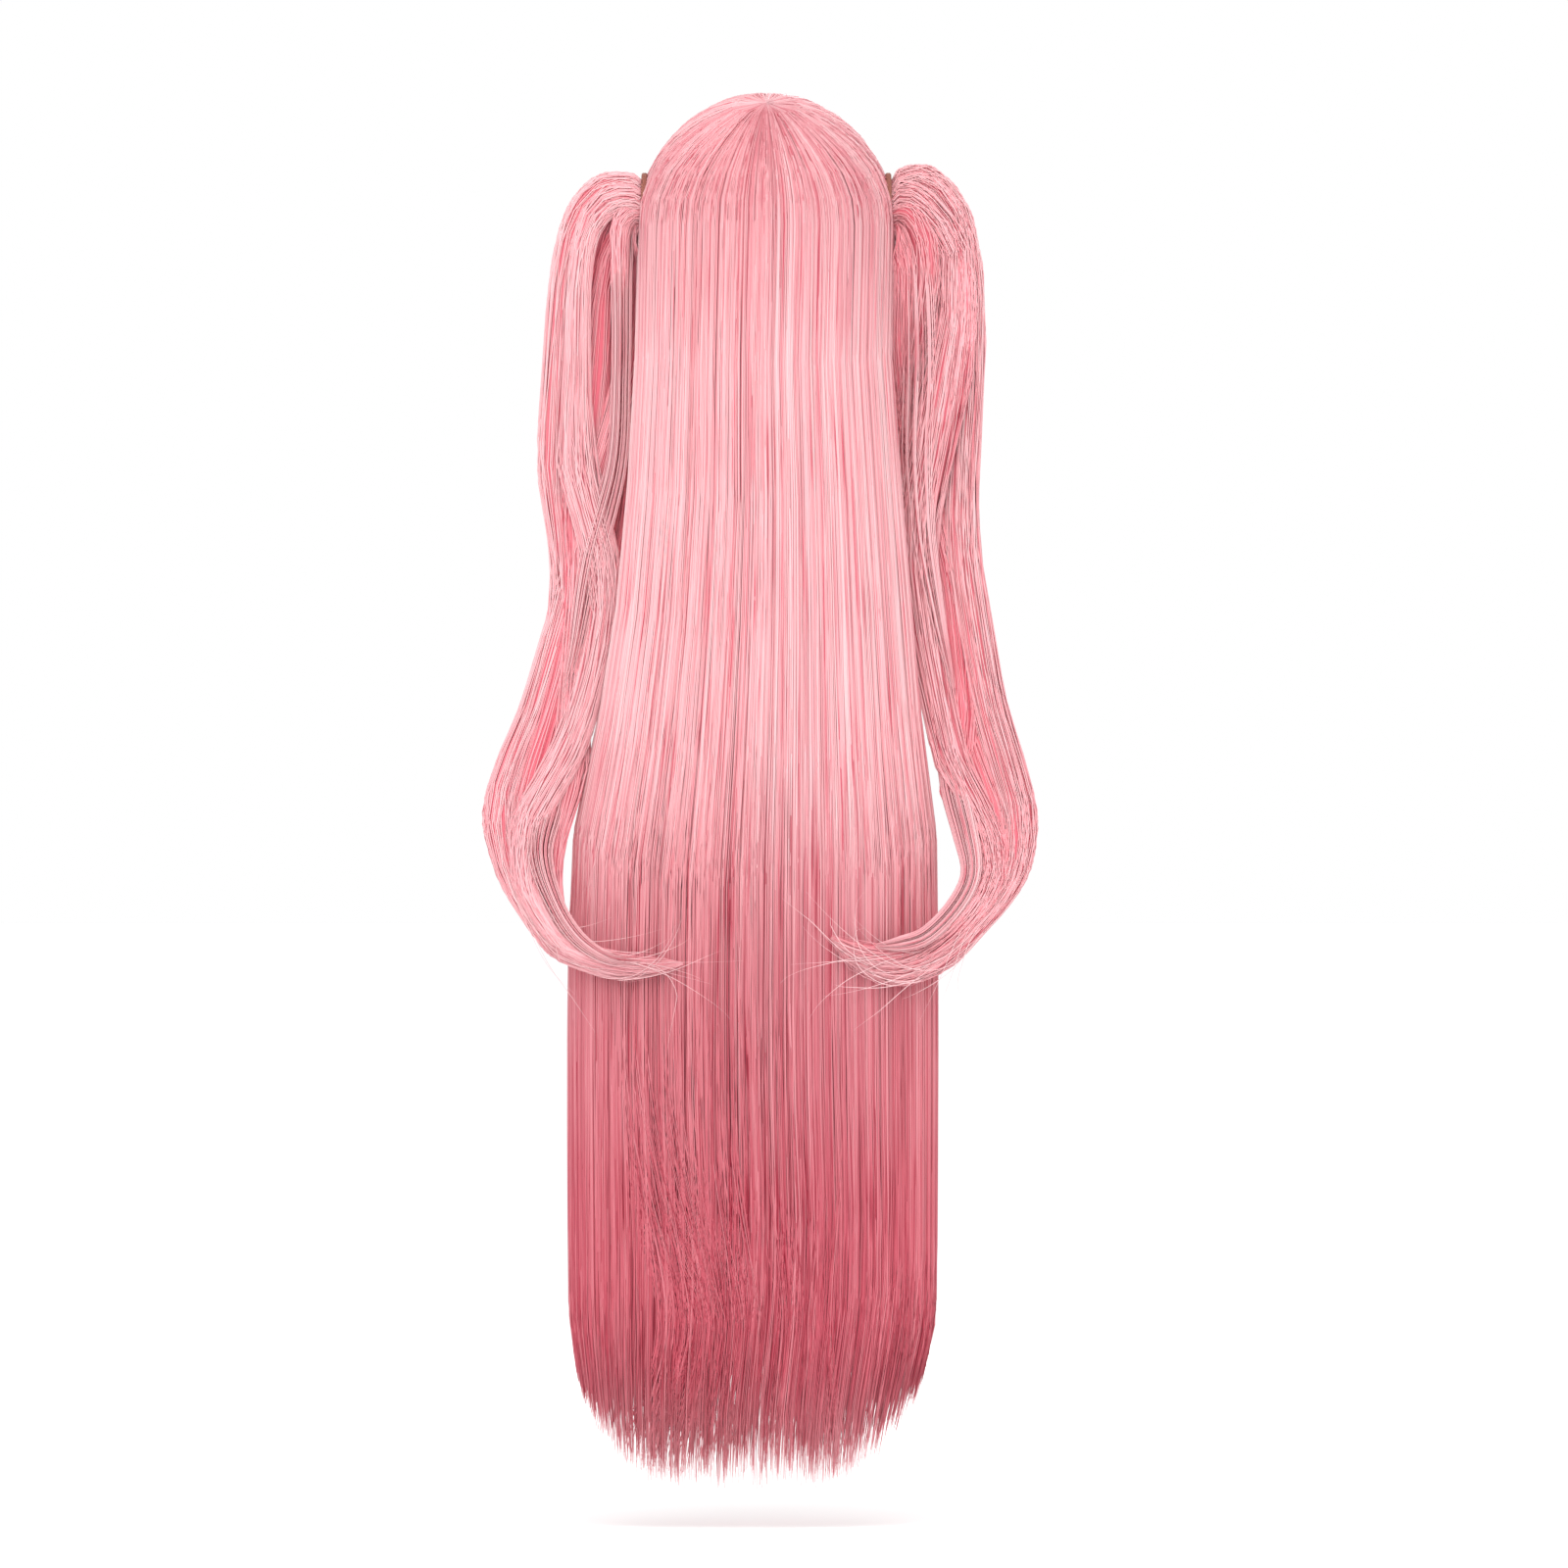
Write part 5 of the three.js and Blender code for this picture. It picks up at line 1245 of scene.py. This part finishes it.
def add_tube(name, rings, recess_shade, comb, node_names, finish):
    """Closed tube through rings of points, capped by fans at both ends."""
    count, sides = rings.shape[:2]
    ends = np.stack([rings[0].mean(axis=0), rings[-1].mean(axis=0)])
    vertices = np.concatenate([rings.reshape(-1, 3), ends])
    index = np.arange(count * sides).reshape(count, sides)
    after = np.roll(index, -1, axis=1)
    quads = np.stack([index[:-1], after[:-1], after[1:], index[1:]], axis=-1).reshape(-1, 4).tolist()
    start, stop = count * sides, count * sides + 1
    first = [(start, int(b), int(a)) for a, b in zip(index[0], after[0])]
    final = [(stop, int(a), int(b)) for a, b in zip(index[-1], after[-1])]
    combed = np.concatenate([comb.reshape(-1, 3), comb[0, :1], comb[-1, :1]])
    shades = np.concatenate([recess_shade.ravel(), recess_shade[0, :1], recess_shade[-1, :1]])
    values = {"recess_shade": shades, "comb": combed}
    add_body(name, vertices, quads + first + final, values, node_names, finish)


def lock_body(tail, name, lock, base, table, finish):
    """Packed fibres inside one lock of a pigtail, just under the strands round it."""
    table = np.array(table)
    rows = tail_rows(tail)
    place = np.linspace(table[0, 0] + 0.3, table[-1, 0] - 2.0, 64)[:, None]
    turn = np.linspace(0.0, 2.0 * math.pi, 16, endpoint=False)[None, :]
    centre_across, centre_deep, size = bundle_section(table, place, 0.3)
    across = centre_across + 0.84 * size * np.cos(turn)
    deep = centre_deep + 0.84 * size * np.sin(turn)
    across, deep = held_in(across, deep, place)
    rings = tail_point(rows, place + 0.0 * turn, across * 0.97, deep * 0.97)
    around = turn * 0.5 * table[:, 3].mean() * PIGTAIL_DEPTH + 0.0 * place
    comb = np.stack([around, place * 30.0 * MM + 0.0 * turn, 0.0 * around + table[3, 1]], axis=-1)
    # Painted recess shade, with a little more on the packed body under the strands
    recess_shade = 0.15 + recess_shade_share(base, across, deep, place)
    add_tube(f"pigtail_{lock}_lock_{name}", rings, recess_shade, comb, [f"pigtail_{name}"], finish)


def cap_tilt(azimuth):
    """Angle from the top of the head down to the cap's edge."""
    place = np.abs((azimuth + 180.0) % 360.0 - 180.0) / 30.0
    drop = along(CAP_EDGE[:, None], place)[..., 0]
    return np.arccos(np.maximum(1.0 - CAP_DEPTH * drop / HEAD_AXES[2], -0.999))


def cap_point(azimuth, tilt, axes):
    turn = np.radians(azimuth)
    unit = [np.sin(tilt) * np.sin(turn), np.sin(tilt) * np.cos(turn), np.cos(tilt)]
    return np.stack(unit, axis=-1) * axes + np.array([0.0, 0.0, EQUATOR_Z])


def thread_set(points):
    return strand_set(points, 0.0, 0.0, 1.0, 0.0, 0.0)


def make_cap(net):
    """Stretch net of crossing threads, sewn bands that carry the hair, and an elastic rim."""
    middle = HEAD_AXES + 0.5 * CAP_WALL
    ribs = round(2.0 * math.pi * middle[0] / NET_MESH)
    levels = round(CAP_DEPTH * 1.25 / NET_MESH)
    azimuth = np.linspace(0.0, 360.0, ribs, endpoint=False)[:, None]
    share = np.linspace(0.04, 1.0, levels)[None, :]
    down = cap_point(azimuth + 0.0 * share, share * cap_tilt(azimuth), middle)
    circle = np.linspace(0.0, 360.0, 73)[None, :]
    level = np.linspace(0.04, 1.0, levels)[:, None]
    around = cap_point(circle + 0.0 * level, level * cap_tilt(circle), middle)
    sizes = {"width": NET_THREAD, "frizz": 0.0}
    grow("cap_net_ribs", thread_set(down), ["cap"], "net", net, **sizes)
    grow("cap_net_rounds", thread_set(around), ["cap"], "net", net, **sizes)
    bands = np.linspace(0.3, 0.9, 8)[:, None]
    sewn = cap_point(circle + 0.0 * bands, bands * cap_tilt(circle), middle)
    grow("cap_weft_bands", thread_set(sewn), ["cap"], "net", net, width=2.0 * MM, sides=6, frizz=0.0)

    def rim(across, down_share, inner):
        angle = 360.0 * across - 180.0
        axes = CAP_AXES if inner == 0.0 else HEAD_AXES
        return cap_point(angle, mix(0.94, 1.0, down_share) * cap_tilt(angle), axes)

    add_sheet("cap_rim", 90, 2, rim, combed_level, ["cap"], net)


def make_tie(name, side, elastic):
    """Covered elastic wound twice round a pigtail's root."""
    turns, strands = 2, 2
    thread = 0.5 * TIE_WIDTH
    reach = ROOT_RADIUS + GAP + 0.5 * TIE_THICKNESS
    angle = np.linspace(0.0, 2.0 * math.pi * turns, 48 * turns + 1)[None, :]
    outer = side * (HAIR_AXES[0] - TIE_INSET - 0.5 * thread)
    x = outer - side * thread * angle / (2.0 * math.pi * turns) + 0.0 * angle
    y = ROOT_BACK + reach * np.cos(angle)
    z = -ROOT_DROP + reach * np.sin(angle)
    points = np.stack([x, y, z], axis=-1)
    sizes = {"width": TIE_THICKNESS * 0.9, "sides": 10, "frizz": 0.0}
    grow(f"tie_{name}", thread_set(points), [f"hair_tie_{name}"], "elastic", elastic, **sizes)


def make_back_hair(rng, fibre, packed):
    """Long hair in two halves, its ends and swept locks, and the hair inside it."""
    nodes = ["crown_hair", "back_hair"]
    edge = 0.85 * rng.uniform(0.0, 1.0, LONG_FIBRES)
    depth = 0.3 * rng.uniform(0.0, 1.0, LONG_FIBRES) ** 1.4
    outer = back_strands(rng, LONG_FIBRES, depth, edge, 0.45, (6, 12))
    middle = outer["points"][:, -1, 0] - HEM_SHIFT
    for name, mask in (("left", middle > 0.0), ("right", middle <= 0.0)):
        grow(f"long_fibres_{name}", chosen(outer, mask), nodes, "hair", fibre)
    grow("hem_fibres", hem_strands(rng, HEM_FIBRES), ["back_hair"], "hair", fibre)
    grow("swept_fibres", swept_strands(rng, SWEPT_FIBRES), ["back_hair"], "hair", fibre)
    depth = 0.98 - 0.25 * rng.uniform(0.0, 1.0, INSIDE_FIBRES)
    inner = back_strands(rng, INSIDE_FIBRES, depth, depth, 0.1, (5, 10))
    grow("long_fibres_inside", inner, nodes, "hair", fibre, seed=2.0)
    back_mat(packed)


def make_pigtail(rng, name, tail, fibre, packed):
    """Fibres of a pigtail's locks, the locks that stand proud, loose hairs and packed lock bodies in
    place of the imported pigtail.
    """
    node = [f"pigtail_{name}"]
    bundles = [bundle_strands(rng, tail, *lock) for lock in tail["bundles"].values()]
    grow(f"pigtail_fibres_{name}", joined(*bundles), node, "hair", fibre, frizz=1.6 * MM)
    locks = [
        proud_strands(rng, FOLD_FIBRES, tail, tail["fold"]),
        proud_strands(rng, FLICK_FIBRES, tail, tail["flick"]),
        stray_strands(rng, STRAY_FIBRES, tail),
    ]
    grow(f"pigtail_locks_{name}", joined(*locks), node, "hair", fibre, frizz=1.6 * MM)
    for lock, (_, base, table) in tail["bundles"].items():
        lock_body(tail, name, lock, base, table, packed)


def make_wig():
    fibre, packed = make_fibre_material(), make_mat_material()
    net, elastic = make_net_material(), make_elastic_material()
    rng = np.random.default_rng(7)
    make_back_hair(rng, fibre, packed)
    fringe = fringe_strands(rng, FRINGE_FIBRES)
    grow("fringe_fibres", fringe, ["fringe"], "hair", fibre, frizz=0.3 * MM)
    fringe_mat(packed)
    for name, tail in TAILS.items():
        side = tail["side"]
        lock = side_strands(rng, SIDE_FIBRES, side)
        grow(f"side_fibres_{name}", lock, [f"side_hair_{name}"], "hair", fibre)
        side_mat(side, name, packed)
        make_pigtail(rng, name, tail, fibre, packed)
        make_tie(name, side, elastic)
    make_cap(net)


def make_camera():
    """Level long-lens camera behind the wig, with the photograph's frame."""
    frame_width = 1.152
    distance = 14.0
    sensor = 36.0
    camera = bpy.data.cameras.new("camera")
    camera.sensor_width = sensor
    camera.lens = sensor * distance / frame_width
    holder = bpy.data.objects.new("camera", camera)
    holder.location = (-0.013, distance + 0.05, -0.4993)
    holder.rotation_euler = (math.radians(90.0), 0.0, math.radians(180.0))
    bpy.context.scene.collection.objects.link(holder)
    bpy.context.scene.camera = holder


def add_light(name, kind, location, target, power, **settings):
    light = bpy.data.lights.new(name, kind)
    light.energy = power
    for setting, value in settings.items():
        setattr(light, setting, value)
    holder = bpy.data.objects.new(name, light)
    holder.location = location
    aim = np.array(target) - np.array(location)
    flat = math.hypot(aim[0], aim[1])
    holder.rotation_euler = (math.atan2(flat, -aim[2]), 0.0, math.atan2(-aim[0], aim[1]))
    bpy.context.scene.collection.objects.link(holder)


def make_studio():
    """Pale floor, white surroundings and soft lights."""
    world = bpy.data.worlds.new("studio")
    world.use_nodes = True
    world.node_tree.nodes["Background"].inputs["Color"].default_value = (1.0, 1.0, 1.0, 1.0)
    world.node_tree.nodes["Background"].inputs["Strength"].default_value = 1.0
    bpy.context.scene.world = world
    bpy.context.scene.view_settings.view_transform = "Standard"
    middle = (0.0, 0.0, -0.4)
    add_light("soft_sun", "SUN", (0.0, 2.0, 2.4), middle, 0.84, angle=math.radians(35.0))
    add_light("key", "AREA", (0.3, 4.2, 0.6), middle, 60.0, shape="DISK", size=3.0)
    add_light("front_fill", "AREA", (-0.6, -4.2, 0.6), middle, 66.0, shape="DISK", size=3.0)
    floor_z, reach = -1.045, 60.0
    corners = [(x * reach, y * reach, floor_z) for x, y in ((-1, -1), (1, -1), (1, 1), (-1, 1))]
    floor_mesh = bpy.data.meshes.new("floor")
    floor_mesh.from_pydata(corners, [], [(0, 1, 2, 3)])
    material, tree = new_material("painted_studio_floor")
    paint = {"Base Color": srgb("#EDEDED"), "Roughness": 0.9}
    shader = add_node(tree, "ShaderNodeBsdfPrincipled", paint)
    finish_material(tree, shader)
    floor_mesh.materials.append(material)
    link_object("floor", floor_mesh)


make_camera()
make_studio()
STRAND_TREE, STRAND_INPUTS = make_strand_tree()
make_wig()
